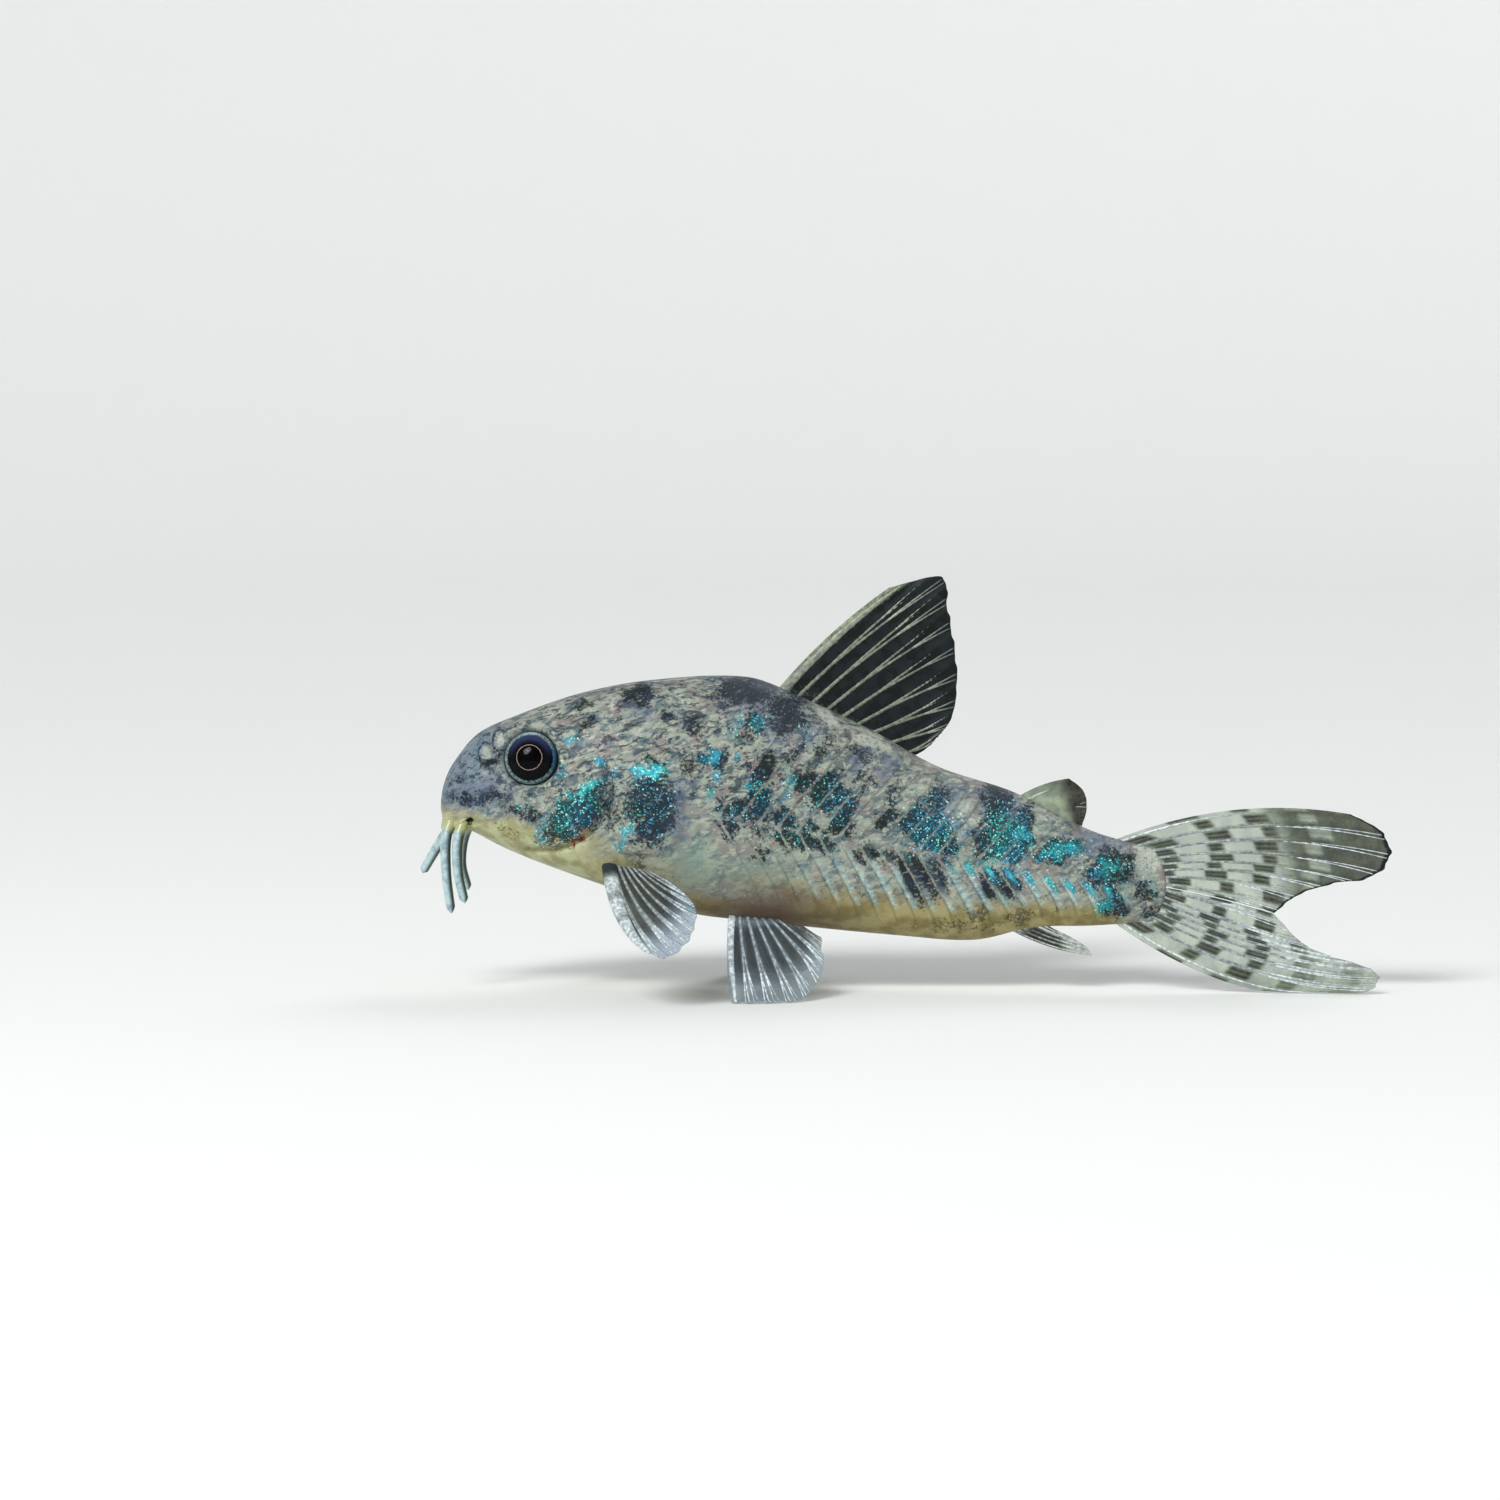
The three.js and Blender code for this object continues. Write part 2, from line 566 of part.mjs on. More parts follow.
const SKIN = { color: 0x8f9384, roughness: 0.45 };
const EYE = { color: 0x0b0d16, roughness: 0.08 };
const FIN = { color: 0xb9c3ba, roughness: 0.4 };
const BARBEL = { color: 0xb7c6c8, roughness: 0.4 };
const model = new THREE.Group();

function addNode(name, solid, looks) {
  const mesh = largestOf(solid.simplify(SMALLEST)).getMesh();
  const geometry = new THREE.BufferGeometry();
  geometry.setAttribute("position", new THREE.BufferAttribute(mesh.vertProperties, 3));
  geometry.setIndex(new THREE.BufferAttribute(mesh.triVerts, 1));
  const piece = new THREE.Mesh(geometry, new THREE.MeshStandardMaterial(looks));
  piece.name = name;
  model.add(piece);
}

addNode("head", headSolid(), SKIN);
addNode("trunk", plated.intersect(trunkRegion), SKIN);
addNode("tail_stalk", plated.intersect(tailRegion), SKIN);
addNode("eye_left", eyeSolid(LEFT), EYE);
addNode("eye_right", eyeSolid(RIGHT), EYE);

const lipClearance = joined(lipSolids(GAP));
for (const [name, side, line] of BARBELS) {
  const curve = new THREE.CatmullRomCurve3(placed(line, side));
  const radiusAt = (t) => THREE.MathUtils.lerp(...BARBEL_RADIUS, t);
  addNode(name, tubeSolid(curve, radiusAt, 12, 8).subtract(clearance).subtract(lipClearance), BARBEL);
}

for (const [name, fin] of Object.entries(FINS)) {
  const paired = name === "pectoral_fin" || name === "pelvic_fin";
  for (const side of paired ? [LEFT, RIGHT] : [LEFT]) {
    const suffix = paired ? { [LEFT]: "_left", [RIGHT]: "_right" }[side] : "";
    addNode(name + suffix, finSolid(fin, side).subtract(clearance).intersect(aboveFloor), FIN);
  }
}

// The origin goes to the middle of the bottom of the whole fish.
const bounds = new THREE.Box3().setFromObject(model);
const middle = bounds.getCenter(new Vector3());
model.children.forEach((piece) => piece.geometry.translate(-middle.x, -middle.y, -bounds.min.z));

export default model;
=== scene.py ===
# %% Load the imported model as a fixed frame
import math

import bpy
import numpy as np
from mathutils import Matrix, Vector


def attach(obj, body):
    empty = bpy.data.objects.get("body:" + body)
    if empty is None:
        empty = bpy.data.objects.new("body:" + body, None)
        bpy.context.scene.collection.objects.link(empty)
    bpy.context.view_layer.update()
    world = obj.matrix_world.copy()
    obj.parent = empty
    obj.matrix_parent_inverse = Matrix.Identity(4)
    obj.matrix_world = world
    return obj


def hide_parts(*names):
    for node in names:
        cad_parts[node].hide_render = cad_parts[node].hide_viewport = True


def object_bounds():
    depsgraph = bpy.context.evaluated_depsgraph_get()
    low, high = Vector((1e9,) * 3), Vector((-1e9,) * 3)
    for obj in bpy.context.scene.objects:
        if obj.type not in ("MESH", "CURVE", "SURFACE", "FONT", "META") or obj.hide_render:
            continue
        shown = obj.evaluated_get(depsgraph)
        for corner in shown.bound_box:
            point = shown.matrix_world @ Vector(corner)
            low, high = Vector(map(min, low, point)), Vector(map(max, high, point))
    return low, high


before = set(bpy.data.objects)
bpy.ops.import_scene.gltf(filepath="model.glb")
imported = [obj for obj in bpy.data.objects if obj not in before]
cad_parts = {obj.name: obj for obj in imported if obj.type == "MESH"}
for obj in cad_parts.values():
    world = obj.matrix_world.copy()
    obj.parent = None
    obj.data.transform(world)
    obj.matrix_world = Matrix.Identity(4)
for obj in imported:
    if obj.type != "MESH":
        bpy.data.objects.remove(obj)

# %% [markdown]
# A still, life-size peppered corydoras: a small armoured catfish of still, shallow streams, 45 mm
# long without its tail fin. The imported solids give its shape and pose. This script gives its looks:
# one wet, mottled skin over the flesh, plates that overlap along the flanks, fins of thin skin on
# forked rays, and eyes behind a clear front.
# Every shape below is a function of two parameters on a grid, worked out with numpy as whole arrays.
# That keeps the sizes true, and lets a marking follow the surface that carries it.

MM = 0.001
cad_low, cad_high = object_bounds()
FISH_LENGTH = 60.0
SNOUT_X = cad_high.x / MM - FISH_LENGTH
print("the snout's tip is at x", round(SNOUT_X, 2), "mm, and the nodes are", sorted(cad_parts))

# %% [markdown]
# The fish is measured as a biologist would: x in millimetres from the tip of the snout, z from the
# floor, and the left side towards -Y. One function turns that into the frame's metres at the end.

# %% From the fish's own millimetres to the frame


def in_frame(points):
    """Millimetres from the snout's tip and the floor, turned into metres in the shared frame."""
    return (np.asarray(points, float) + [SNOUT_X, 0, 0]) * MM


def smoothstep(low, high, value):
    """0 below low, 1 above high, and 3t^2 - 2t^3 between them, where t is the share of the way."""
    t = np.clip((value - low) / (high - low), 0, 1)
    return t * t * (3 - 2 * t)


def bump(value, centre, width):
    """A bell round centre: e to the power of minus the square of the distance over the width."""
    return np.exp(-(((value - centre) / width) ** 2))


# %% [markdown]
# The camera stands where the photographer did: level with the fish's left side and four degrees
# above it. At 400 mm the picture's 1500 pixels cover 95 mm, which is a long lens, and so the fish
# looks as flat as in the photo.

# %% The camera
PIXEL = 0.0635
PICTURE_SIDE = 1500 * PIXEL
CAMERA_DISTANCE = 400.0
CAMERA_ELEVATION = math.radians(4)
LOOKED_AT = np.array([19.65, 0, 15.24])
SENSOR = 36.0

camera_data = bpy.data.cameras.new("camera")
camera_data.sensor_width = SENSOR
camera_data.lens = SENSOR * CAMERA_DISTANCE / PICTURE_SIDE
camera_data.clip_start = 0.01
camera_data.clip_end = 20
camera = bpy.data.objects.new("camera", camera_data)
bpy.context.scene.collection.objects.link(camera)
towards_camera = np.array([0, -math.cos(CAMERA_ELEVATION), math.sin(CAMERA_ELEVATION)])
camera.location = in_frame(LOOKED_AT + CAMERA_DISTANCE * towards_camera)
camera.rotation_euler = (math.pi / 2 - CAMERA_ELEVATION, 0, 0)
bpy.context.scene.camera = camera
print("the lens is", round(camera_data.lens, 1), "mm long")

# %% [markdown]
# The body is drawn from a few long lines, the way a boat is lofted: the back, the belly, the seam
# along the flank where the two rows of plates meet, and half the width. Each line is smooth in the
# square root of x, so that it can leave the snout upright, as a blunt nose does.

# %% The long lines of the body
FLESH_LENGTH = 45.2
TAIL_BULGE = 0.8
SNOUT_HEIGHT = 11.6
TAIL_SWING = 4.0
SWING_START = 22.0
BACK_LINE = [
    (0, SNOUT_HEIGHT), (0.38, 13.6), (1.14, 14.9), (2.4, 16.3), (5, 17.5), (9.5, 19), (14, 19.75),
    (19.4, 19.9), (22.3, 18.9), (27.4, 16.5), (31.6, 14.2), (36.4, 12.6), (41.4, 10.15),
    (FLESH_LENGTH, 9.15),
]
BELLY_LINE = [
    (0, SNOUT_HEIGHT), (0.6, 10.5), (1.9, 10.15), (4.2, 9), (9.5, 7), (16, 4.9), (20, 4.4),
    (29.3, 3.45), (34, 3.2), (37.6, 4), (41.4, 4.15), (FLESH_LENGTH, 4.45),
]
SEAM_LINE = [
    (0, SNOUT_HEIGHT), (2, 12), (6, 11.6), (10, 11.6), (16.6, 11.6), (23, 10.4), (29.3, 9.2),
    (35.7, 8.1), (42, 7), (FLESH_LENGTH, 6.8),
]
HALF_WIDTH_LINE = [
    (0, 0), (0.5, 1.3), (1.5, 2.2), (3, 3.1), (5.8, 4.2), (9, 5.1), (12.5, 5.5), (16, 5.4),
    (20, 4.9), (25, 4), (30, 3.2), (36, 2.3), (42, 1.4), (FLESH_LENGTH, 0.75),
]
ROOF_ROUNDNESS = [(0, 2), (3, 2.5), (9, 2.5), (18, 2.05), (FLESH_LENGTH, 2)]
KEEL_ROUNDNESS = [(0, 2), (3, 2.4), (12, 2.7), (30, 2.6), (38, 2.1), (FLESH_LENGTH, 2)]


def smooth_line(pairs):
    """A function of x through (x, value) pairs: a cubic in the square root of x between each two,
    whose slope at a pair is that of the chord between its neighbours."""
    at, value = np.array(pairs, float).T
    root = np.sqrt(at)
    last = len(at) - 1
    before = np.maximum(np.arange(last + 1) - 1, 0)
    after = np.minimum(np.arange(last + 1) + 1, last)
    slope = (value[after] - value[before]) / (root[after] - root[before])

    def line(x):
        r = np.sqrt(np.clip(x, 0, at[-1]))
        i = np.clip(np.searchsorted(root, r, side="right") - 1, 0, last - 1)
        span = root[i + 1] - root[i]
        t = (r - root[i]) / span
        start = (1 + 2 * t) * (1 - t) ** 2 * value[i] + t * (1 - t) ** 2 * span * slope[i]
        end = t * t * (3 - 2 * t) * value[i + 1] + t * t * (t - 1) * span * slope[i + 1]
        return start + end

    return line


back_at = smooth_line(BACK_LINE)
belly_at = smooth_line(BELLY_LINE)
seam_at = smooth_line(SEAM_LINE)
half_width_at = smooth_line(HALF_WIDTH_LINE)
roof_at = smooth_line(ROOF_ROUNDNESS)
keel_at = smooth_line(KEEL_ROUNDNESS)
print("the body is", round(float(back_at(19.4) - belly_at(19.4)), 1), "mm deep at the dorsal fin")

# %% [markdown]
# Each cross-section is a superellipse: a circle's sine and cosine, raised to a power that squares it
# a little above and below. The tail swings to the fish's left along a parabola.

# %% A point of the bare skin
NORMAL_STEP = 0.02


def swing(x):
    """How far the tail is swung at x: a parabola that starts at mid-body, towards -Y."""
    t = np.maximum(0, (x - SWING_START) / (FISH_LENGTH - SWING_START))
    return -TAIL_SWING * t * t


def bare_point(x, angle):
    """Skin at x and an angle from the back, a quarter turn on the left seam and a half turn on the
    belly: y is the half width times sine to a power, z the seam plus the reach times cosine to it."""
    up, side = np.cos(angle), np.sin(angle)
    above = up > 0
    power = 2 / np.where(above, roof_at(x), keel_at(x))
    reach = np.where(above, back_at(x) - seam_at(x), seam_at(x) - belly_at(x))
    y = -half_width_at(x) * np.sign(side) * np.abs(side) ** power
    z = seam_at(x) + reach * np.sign(up) * np.abs(up) ** power
    return np.stack([x + 0 * y, y, z], -1)


def unit(vectors):
    """The same vectors with length one."""
    length = np.linalg.norm(vectors, axis=-1, keepdims=True)
    return vectors / np.maximum(length, 1e-12)


def normal_at(x, angle):
    """The bare skin's outward direction: the cross product of a step round it and a step along."""
    near = np.clip(x, NORMAL_STEP * 2, FLESH_LENGTH - NORMAL_STEP * 2)
    along = bare_point(near + NORMAL_STEP, angle) - bare_point(near - NORMAL_STEP, angle)
    around = bare_point(near, angle + NORMAL_STEP) - bare_point(near, angle - NORMAL_STEP)
    return unit(np.cross(around, along))


def skin_point(x, angle, lift):
    """The bare skin lifted along its normal, with the tail's swing added."""
    lift = np.asarray(lift, float)[..., None]
    points = bare_point(x, angle) + normal_at(x, angle) * lift
    points[..., 1] += swing(x)
    return points


def skin_at(x, z, side):
    """The skin seen at x and z from one flank, 1 for the left: the section solved for its angle."""
    x, z = np.asarray(x, float), np.asarray(z, float)
    above = z > seam_at(x)
    reach = np.where(above, back_at(x) - seam_at(x), seam_at(x) - belly_at(x))
    share = np.minimum(1, np.abs(z - seam_at(x)) / reach)
    up = share ** (np.where(above, roof_at(x), keel_at(x)) / 2) * np.where(above, 1, -1)
    return skin_point(x, side * np.arccos(up), 0)


# %% [markdown]
# Two rows of bony plates, the scutes, cover each flank like roof tiles. They meet along the seam and
# lean back from it, so that their free rear edges make a row of arrows. The grid's own rings follow
# those edges, which keeps each edge sharp with few points, where a plain grid would make steps. The
# head's rings crowd towards the snout, where the skin bends most.

# %% The rings of the grid, which follow the plates
SCUTES = 22
SCUTE_ROW = (16.4, 44.0)
SCUTE_PITCH = (SCUTE_ROW[1] - SCUTE_ROW[0]) / SCUTES
SCUTE_STEP = 0.19
UPPER_LEAN = 0.62
LOWER_LEAN = 0.5
EDGE_BOW = 0.22
LEAN_GROWS = (8, 16.4)
LEAN_FADES = (41, FLESH_LENGTH)
UPPER_REACH = (0.14, 0.497)
LOWER_REACH = (0.503, 0.79)
HEAD_RINGS = 150
SHARES_OF_A_SCUTE = [0.02, 0.14, 0.3, 0.48, 0.66, 0.82, 0.91, 0.965]
TAIL_RINGS = 7
AROUND = 224
CROWDING = 1.25

head_stations = SCUTE_ROW[0] * (np.arange(1, HEAD_RINGS) / HEAD_RINGS) ** CROWDING
scute_starts = SCUTE_ROW[0] + SCUTE_PITCH * np.arange(SCUTES)
scute_stations = (scute_starts[:, None] + SCUTE_PITCH * np.array(SHARES_OF_A_SCUTE)).ravel()
tail_stations = np.linspace(SCUTE_ROW[1], FLESH_LENGTH, TAIL_RINGS)
stations = np.concatenate([head_stations, scute_stations, tail_stations])
angles = np.linspace(-np.pi, np.pi, AROUND, endpoint=False)
station, angle = np.meshgrid(stations, angles, indexing="ij")


def row_share(turn, reach):
    """How far across its row a turn lies, from 0 at the row's upper end to 1 at its lower one."""
    return np.clip((turn - reach[0]) / (reach[1] - reach[0]), 0, 1)


def lean_at(x, turned):
    """How far back a plate's edge lies at an angle: the height from the seam times the lean, plus a
    sine's arch that bows the edge, grown in behind the head and faded out before the tail."""
    turn = np.clip(np.abs(turned) / np.pi, UPPER_REACH[0], LOWER_REACH[1])
    rise = bare_point(x, turn * np.pi)[..., 2] - seam_at(x)
    kept = smoothstep(*LEAN_GROWS, x) * (1 - smoothstep(*LEAN_FADES, x))
    bow = np.sin(np.pi * row_share(turn, UPPER_REACH)) + np.sin(np.pi * row_share(turn, LOWER_REACH))
    return (np.abs(rise) * np.where(rise > 0, UPPER_LEAN, LOWER_LEAN) + EDGE_BOW * bow) * kept


body_x = station + lean_at(station, angle)
body_z = bare_point(body_x, angle)[..., 2]
turn = np.abs(angle) / np.pi
print("the skin's grid has", station.shape[0], "rings of", station.shape[1], "points")

# %% [markdown]
# A plate rises gently to its rear edge and drops there by a fifth of a millimetre on to the next.
# The rise is written as a saw tooth of the ring's share of its plate.

# %% How proud the plates stand
share_of_plate = ((station - SCUTE_ROW[0]) / SCUTE_PITCH) % 1
on_scutes = smoothstep(SCUTE_ROW[0] - 0.05, SCUTE_ROW[0] + 0.05, station)
on_scutes = on_scutes * (1 - smoothstep(SCUTE_ROW[1] - 0.9, SCUTE_ROW[1] + 0.1, station))


def row_window(reach):
    """1 inside a row's reach of angle, sinking to 0 at both of its ends, as a sine's arch does."""
    return np.sin(np.pi * row_share(turn, reach)) ** 0.45


upper_row = row_window(UPPER_REACH)
lower_row = row_window(LOWER_REACH)
tooth = np.clip(share_of_plate / 0.93, 0, 1) ** 1.4 * (1 - smoothstep(0.955, 0.995, share_of_plate))
worn_edge = 0.62 + 0.25 * np.sin(2.1 * station + 1.3 * body_z) * np.sin(0.9 * body_z + 1.0)
plate_lift = SCUTE_STEP * tooth * (upper_row * worn_edge + lower_row) * on_scutes
print("the plates stand", round(float(plate_lift.max()), 2), "mm proud at most")

# %% [markdown]
# The head's forms are all seen from the side, so they are drawn there, as a map: an outline of x and
# z, and how far each grid point lies inside it. The gill cover and the shoulder plate are closed
# outlines. The gill opening and the folds are open lines.

# %% Distances on the side view
LINE_PIECES = 64
GILL_COVER = [
    (9.9, 14.7), (8.5, 13.7), (7.1, 12.3), (6.1, 10.9), (6.2, 9.8), (7, 9.4), (9, 10.1),
    (10.3, 11.5), (10.8, 13.2), (10.5, 14.5),
]
SHOULDER_PLATE = [
    (12, 14.6), (11.8, 13), (11.4, 11.2), (11.4, 9.3), (12.6, 8.9), (14.6, 9.1), (15.6, 11.2),
    (15.3, 13.4), (13.6, 15),
]
GILL_OPENING = [(10.5, 14.8), (11.05, 13.2), (10.6, 11.4), (9.3, 10), (7.2, 9.15), (5.6, 9.1)]


def curve_through(points):
    """A function of t from 0 to 1 through the points: a Catmull-Rom curve whose spans are weighed by
    the square root of their length, so that it doesn't overshoot."""
    knots = np.array(points, float)
    knots = np.vstack([2 * knots[0] - knots[1], knots, 2 * knots[-1] - knots[-2]])
    span = np.sqrt(np.linalg.norm(np.diff(knots, axis=0), axis=1))

    def curve(t):
        t = np.asarray(t, float)
        place = np.clip(t, 0, 1) * (len(knots) - 3)
        i = np.minimum(place.astype(int), len(knots) - 4)
        s = (place - i)[..., None]
        d0, d1, d2 = (span[i + k][..., None] for k in range(3))
        p0, p1, p2, p3 = (knots[i + k] for k in range(4))
        out = ((p1 - p0) / d0 - (p2 - p0) / (d0 + d1) + (p2 - p1) / d1) * d1
        into = ((p2 - p1) / d1 - (p3 - p1) / (d1 + d2) + (p3 - p2) / d2) * d1
        bend = (2 * p1 - 2 * p2 + out + into) * s**3
        bend = bend + (3 * p2 - 3 * p1 - 2 * out - into) * s**2
        return bend + out * s + p1

    return curve


def distance_to(points, x, z, closed=False):
    """The distance in the side view from each (x, z) to a smooth line through the points. Inside a
    closed line it is positive and outside negative, by counting the edges crossed on the way up."""
    line = curve_through([*points, points[0]] if closed else points)(np.linspace(0, 1, LINE_PIECES))
    near = np.full(np.shape(x), np.inf)
    inside = np.zeros(np.shape(x), bool)
    for (ax, az), (bx, bz) in zip(line[:-1], line[1:]):
        along = ((x - ax) * (bx - ax) + (z - az) * (bz - az)) / ((bx - ax) ** 2 + (bz - az) ** 2)
        along = np.clip(along, 0, 1)
        near = np.minimum(near, np.hypot(x - ax - along * (bx - ax), z - az - along * (bz - az)))
        crossed = ((ax > x) != (bx > x)) & (z < az + (x - ax) * (bz - az) / (bx - ax + 1e-12))
        inside ^= crossed
    return np.where(inside, near, -near) if closed else near


in_cover = distance_to(GILL_COVER, body_x, body_z, closed=True)
in_shoulder = distance_to(SHOULDER_PLATE, body_x, body_z, closed=True)
from_opening = distance_to(GILL_OPENING, body_x, body_z)
print("grid points on the gill covers:", int((in_cover > 0).sum()))

# %% [markdown]
# Round the eye the skin sinks into a socket with a soft rim. The nostrils are two small pits a side.
# The mouth is a short groove under the snout between two fleshy lips. Catfish have no eyelids.

# %% How the head's forms lift and sink the skin
EYE_AT = (5.84, 15.0)
EYE_RADIUS = 1.78
NOSTRILS = [(3.05, 15.2), (3.95, 16.0)]
NOSTRIL_RADIUS = 0.34
MOUTH_FRONT = 0.75
MOUTH_CORNER = 1.9
MOUTH_SPREAD = 0.3
MOUTH_GROOVE = 0.3
LIP_RISE = 0.3
LIP_LOBE_AT = (0.6, 10.9)
LIP_LOBE_RISE = 0.34
CORNER_AT = (1.85, 10.8)
CORNER_DEPTH = 0.45
SOCKET_DEPTH = 0.95
EYE_RIM_RISE = 0.2
COVER_RISE = 0.3
SHOULDER_RISE = 0.26
OPENING_DEPTH = 0.34
PIT_DEPTH = 0.42
PIT_RIM_RISE = 0.12

from_eye = np.hypot(body_x - EYE_AT[0], body_z - EYE_AT[1])
socket = -SOCKET_DEPTH * (1 - smoothstep(EYE_RADIUS - 0.35, EYE_RADIUS + 0.1, from_eye))
rim = EYE_RIM_RISE * bump(from_eye, EYE_RADIUS + 0.3, 0.24)
cover = smoothstep(0, 0.22, in_cover) * (0.55 + 0.45 * smoothstep(0, 1.4, in_cover))
shoulder = smoothstep(0, 0.3, in_shoulder) * (0.6 + 0.4 * smoothstep(0, 1.5, in_shoulder))
opening = -OPENING_DEPTH * bump(from_opening, 0, 0.14)

pits = 0
for nostril_x, nostril_z in NOSTRILS:
    from_pit = np.hypot(body_x - nostril_x, body_z - nostril_z)
    pits = pits - PIT_DEPTH * bump(from_pit, 0, NOSTRIL_RADIUS * 0.75)
    pits = pits + PIT_RIM_RISE * bump(from_pit, NOSTRIL_RADIUS * 1.25, 0.14)

below = (np.pi - np.abs(angle)) / np.pi
mouth_x = MOUTH_FRONT + (MOUTH_CORNER - MOUTH_FRONT) * (below / MOUTH_SPREAD) ** 2
at_mouth = 1 - smoothstep(MOUTH_SPREAD * 0.92, MOUTH_SPREAD * 1.12, below)
lips = LIP_RISE * (bump(body_x, mouth_x - 0.36, 0.2) + bump(body_x, mouth_x + 0.44, 0.24))
lips = (lips - MOUTH_GROOVE * bump(body_x, mouth_x + 0.02, 0.11)) * at_mouth
from_lobe = np.hypot(body_x - LIP_LOBE_AT[0], (body_z - LIP_LOBE_AT[1]) * 0.8)
lobe = LIP_LOBE_RISE * bump(from_lobe, 0, 0.6)
corner = -CORNER_DEPTH * bump(np.hypot(body_x - CORNER_AT[0], body_z - CORNER_AT[1]), 0, 0.26)

flank_lift = plate_lift * (1 - smoothstep(-0.2, 0.2, in_shoulder)) * smoothstep(-0.4, 0.6, body_x - 14)
head_lift = COVER_RISE * cover + SHOULDER_RISE * shoulder + socket + rim + opening + pits
body_lift = (flank_lift + head_lift + lips + lobe + corner) * smoothstep(0, 0.5, body_x)
print("the skin is lifted by", round(float(body_lift.max()), 2), "mm at most")

# %% [markdown]
# A closed surface over a grid needs only its points and its faces. These few helpers make the faces
# as whole arrays of numbers, close the ends, and turn a shape that came out inside out.

# %% Surfaces from grids


def ring_quads(rows, columns):
    """The four corners of each face of a grid whose columns run round and meet themselves."""
    i, j = np.meshgrid(np.arange(rows - 1), np.arange(columns), indexing="ij")
    k = (j + 1) % columns
    corners = [i * columns + j, i * columns + k, (i + 1) * columns + k, (i + 1) * columns + j]
    return np.stack(corners, -1).reshape(-1, 4)


def outwards(points, faces):
    """The faces turned so that the closed shape's volume, a sum of corner products, is positive."""
    a, b, c = (points[faces[:, k]] for k in range(3))
    volume = np.einsum("ij,ij->i", a - points.mean(0), np.cross(b - a, c - a)).sum()
    return faces if volume > 0 else faces[:, ::-1]


def tube_shell(rings, first, last):
    """A closed shell over rings of points, with one point that closes each end."""
    rows, columns = rings.shape[:2]
    points = np.vstack([rings.reshape(-1, 3), first, last])
    j = np.arange(columns)
    k = (j + 1) % columns
    head = np.stack([k, j, j * 0 + rows * columns, j * 0 + rows * columns], -1)
    base = (rows - 1) * columns
    tail = np.stack([base + j, base + k, j * 0 + rows * columns + 1, j * 0 + rows * columns + 1], -1)
    faces = np.vstack([ring_quads(rows, columns), head, tail])
    return points, outwards(points, faces)


def slab_shell(outer, inner):
    """A closed shell round a sheet: its two faces make rings, and strips close the first and last."""
    rows, columns = outer.shape[:2]
    rings = np.concatenate([outer, inner[:, ::-1]], axis=1)
    j = np.arange(columns - 1)
    turned = 2 * columns - 1
    first = np.stack([j + 1, j, turned - j, turned - j - 1], -1)
    last = first[:, ::-1] + (rows - 1) * 2 * columns
    points = rings.reshape(-1, 3)
    faces = np.vstack([ring_quads(rows, 2 * columns), first, last])
    return points, outwards(points, faces)


def joined(shells):
    """Several shells as one: their points one after another and their faces counted on."""
    starts = np.cumsum([0] + [len(points) for points, _ in shells[:-1]])
    points = np.vstack([points for points, _ in shells])
    return points, np.vstack([faces + start for (_, faces), start in zip(shells, starts)])


def make_piece(name, shell, material, slot, stands_for=(), **attributes):
    """A mesh object from a shell, smooth, on the root body. A face that names its last corner twice
    is a triangle. Each attribute is one number for each point."""
    points, faces = shell
    corners = [list(dict.fromkeys(face)) for face in faces.tolist()]
    mesh = bpy.data.meshes.new(name)
    mesh.from_pydata(in_frame(points).tolist(), [], corners)
    mesh.shade_smooth()
    for key, values in attributes.items():
        layer = mesh.attributes.new(key, "FLOAT", "POINT")
        layer.data.foreach_set("value", np.asarray(values, np.float32).ravel())
    mesh.materials.append(material)
    piece = bpy.data.objects.new(name, mesh)
    bpy.context.scene.collection.objects.link(piece)
    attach(piece, "root")
    if stands_for:
        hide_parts(*stands_for)
    triangles = sum(len(face) - 2 for face in corners)
    print(name, "has", len(points), "points and", triangles, "triangles")


# %% [markdown]
# Each finish is built from nodes. Colours are chosen as sRGB hex values, as in a paint program, and
# turned to the linear light that the renderer works in. Patterns read the Object coordinates scaled
# to millimetres, so a speckle's size is written as the size it has on the fish.

# %% Helpers for materials


def linear(code):
    """A hex colour as linear light: a channel c over 0.04 becomes ((c + 0.055) / 1.055) ^ 2.4."""
    channels = [int(code[k : k + 2], 16) / 255 for k in (1, 3, 5)]
    return [c / 12.92 if c <= 0.04045 else ((c + 0.055) / 1.055) ** 2.4 for c in channels] + [1.0]


READ = ("Attribute", {}, (), "Fac")
MIX = ("Mix", {"data_type": "RGBA"}, (0, 6, 7), 2)
RAMP = ("MapRange", {"interpolation_type": "SMOOTHSTEP"}, (0, 1, 2), 0)
STRETCH = ("MapRange", {}, (0, 1, 2), 0)
PLUS = ("Math", {"operation": "ADD"}, (0, 1), 0)
MINUS = ("Math", {"operation": "SUBTRACT"}, (0, 1), 0)
TIMES = ("Math", {"operation": "MULTIPLY"}, (0, 1), 0)
LARGER = ("Math", {"operation": "MAXIMUM"}, (0, 1), 0)
SMALLER = ("Math", {"operation": "MINIMUM"}, (0, 1), 0)
NOISE = ("TexNoise", {}, ("Vector", "Scale", "Detail", "Roughness", "Distortion"), 0)
CELLS = ("TexVoronoi", {}, ("Vector", "Scale"), "Distance")
PARTS = ("SeparateColor", {}, (0,), 0)
TURNED = ("Mapping", {"vector_type": "TEXTURE"}, ("Vector", "Rotation", "Scale"), 0)
RELIEF = ("Bump", {}, ("Height", "Strength", "Distance"), 0)
SHADER = ("BsdfPrincipled", {}, (), 0)


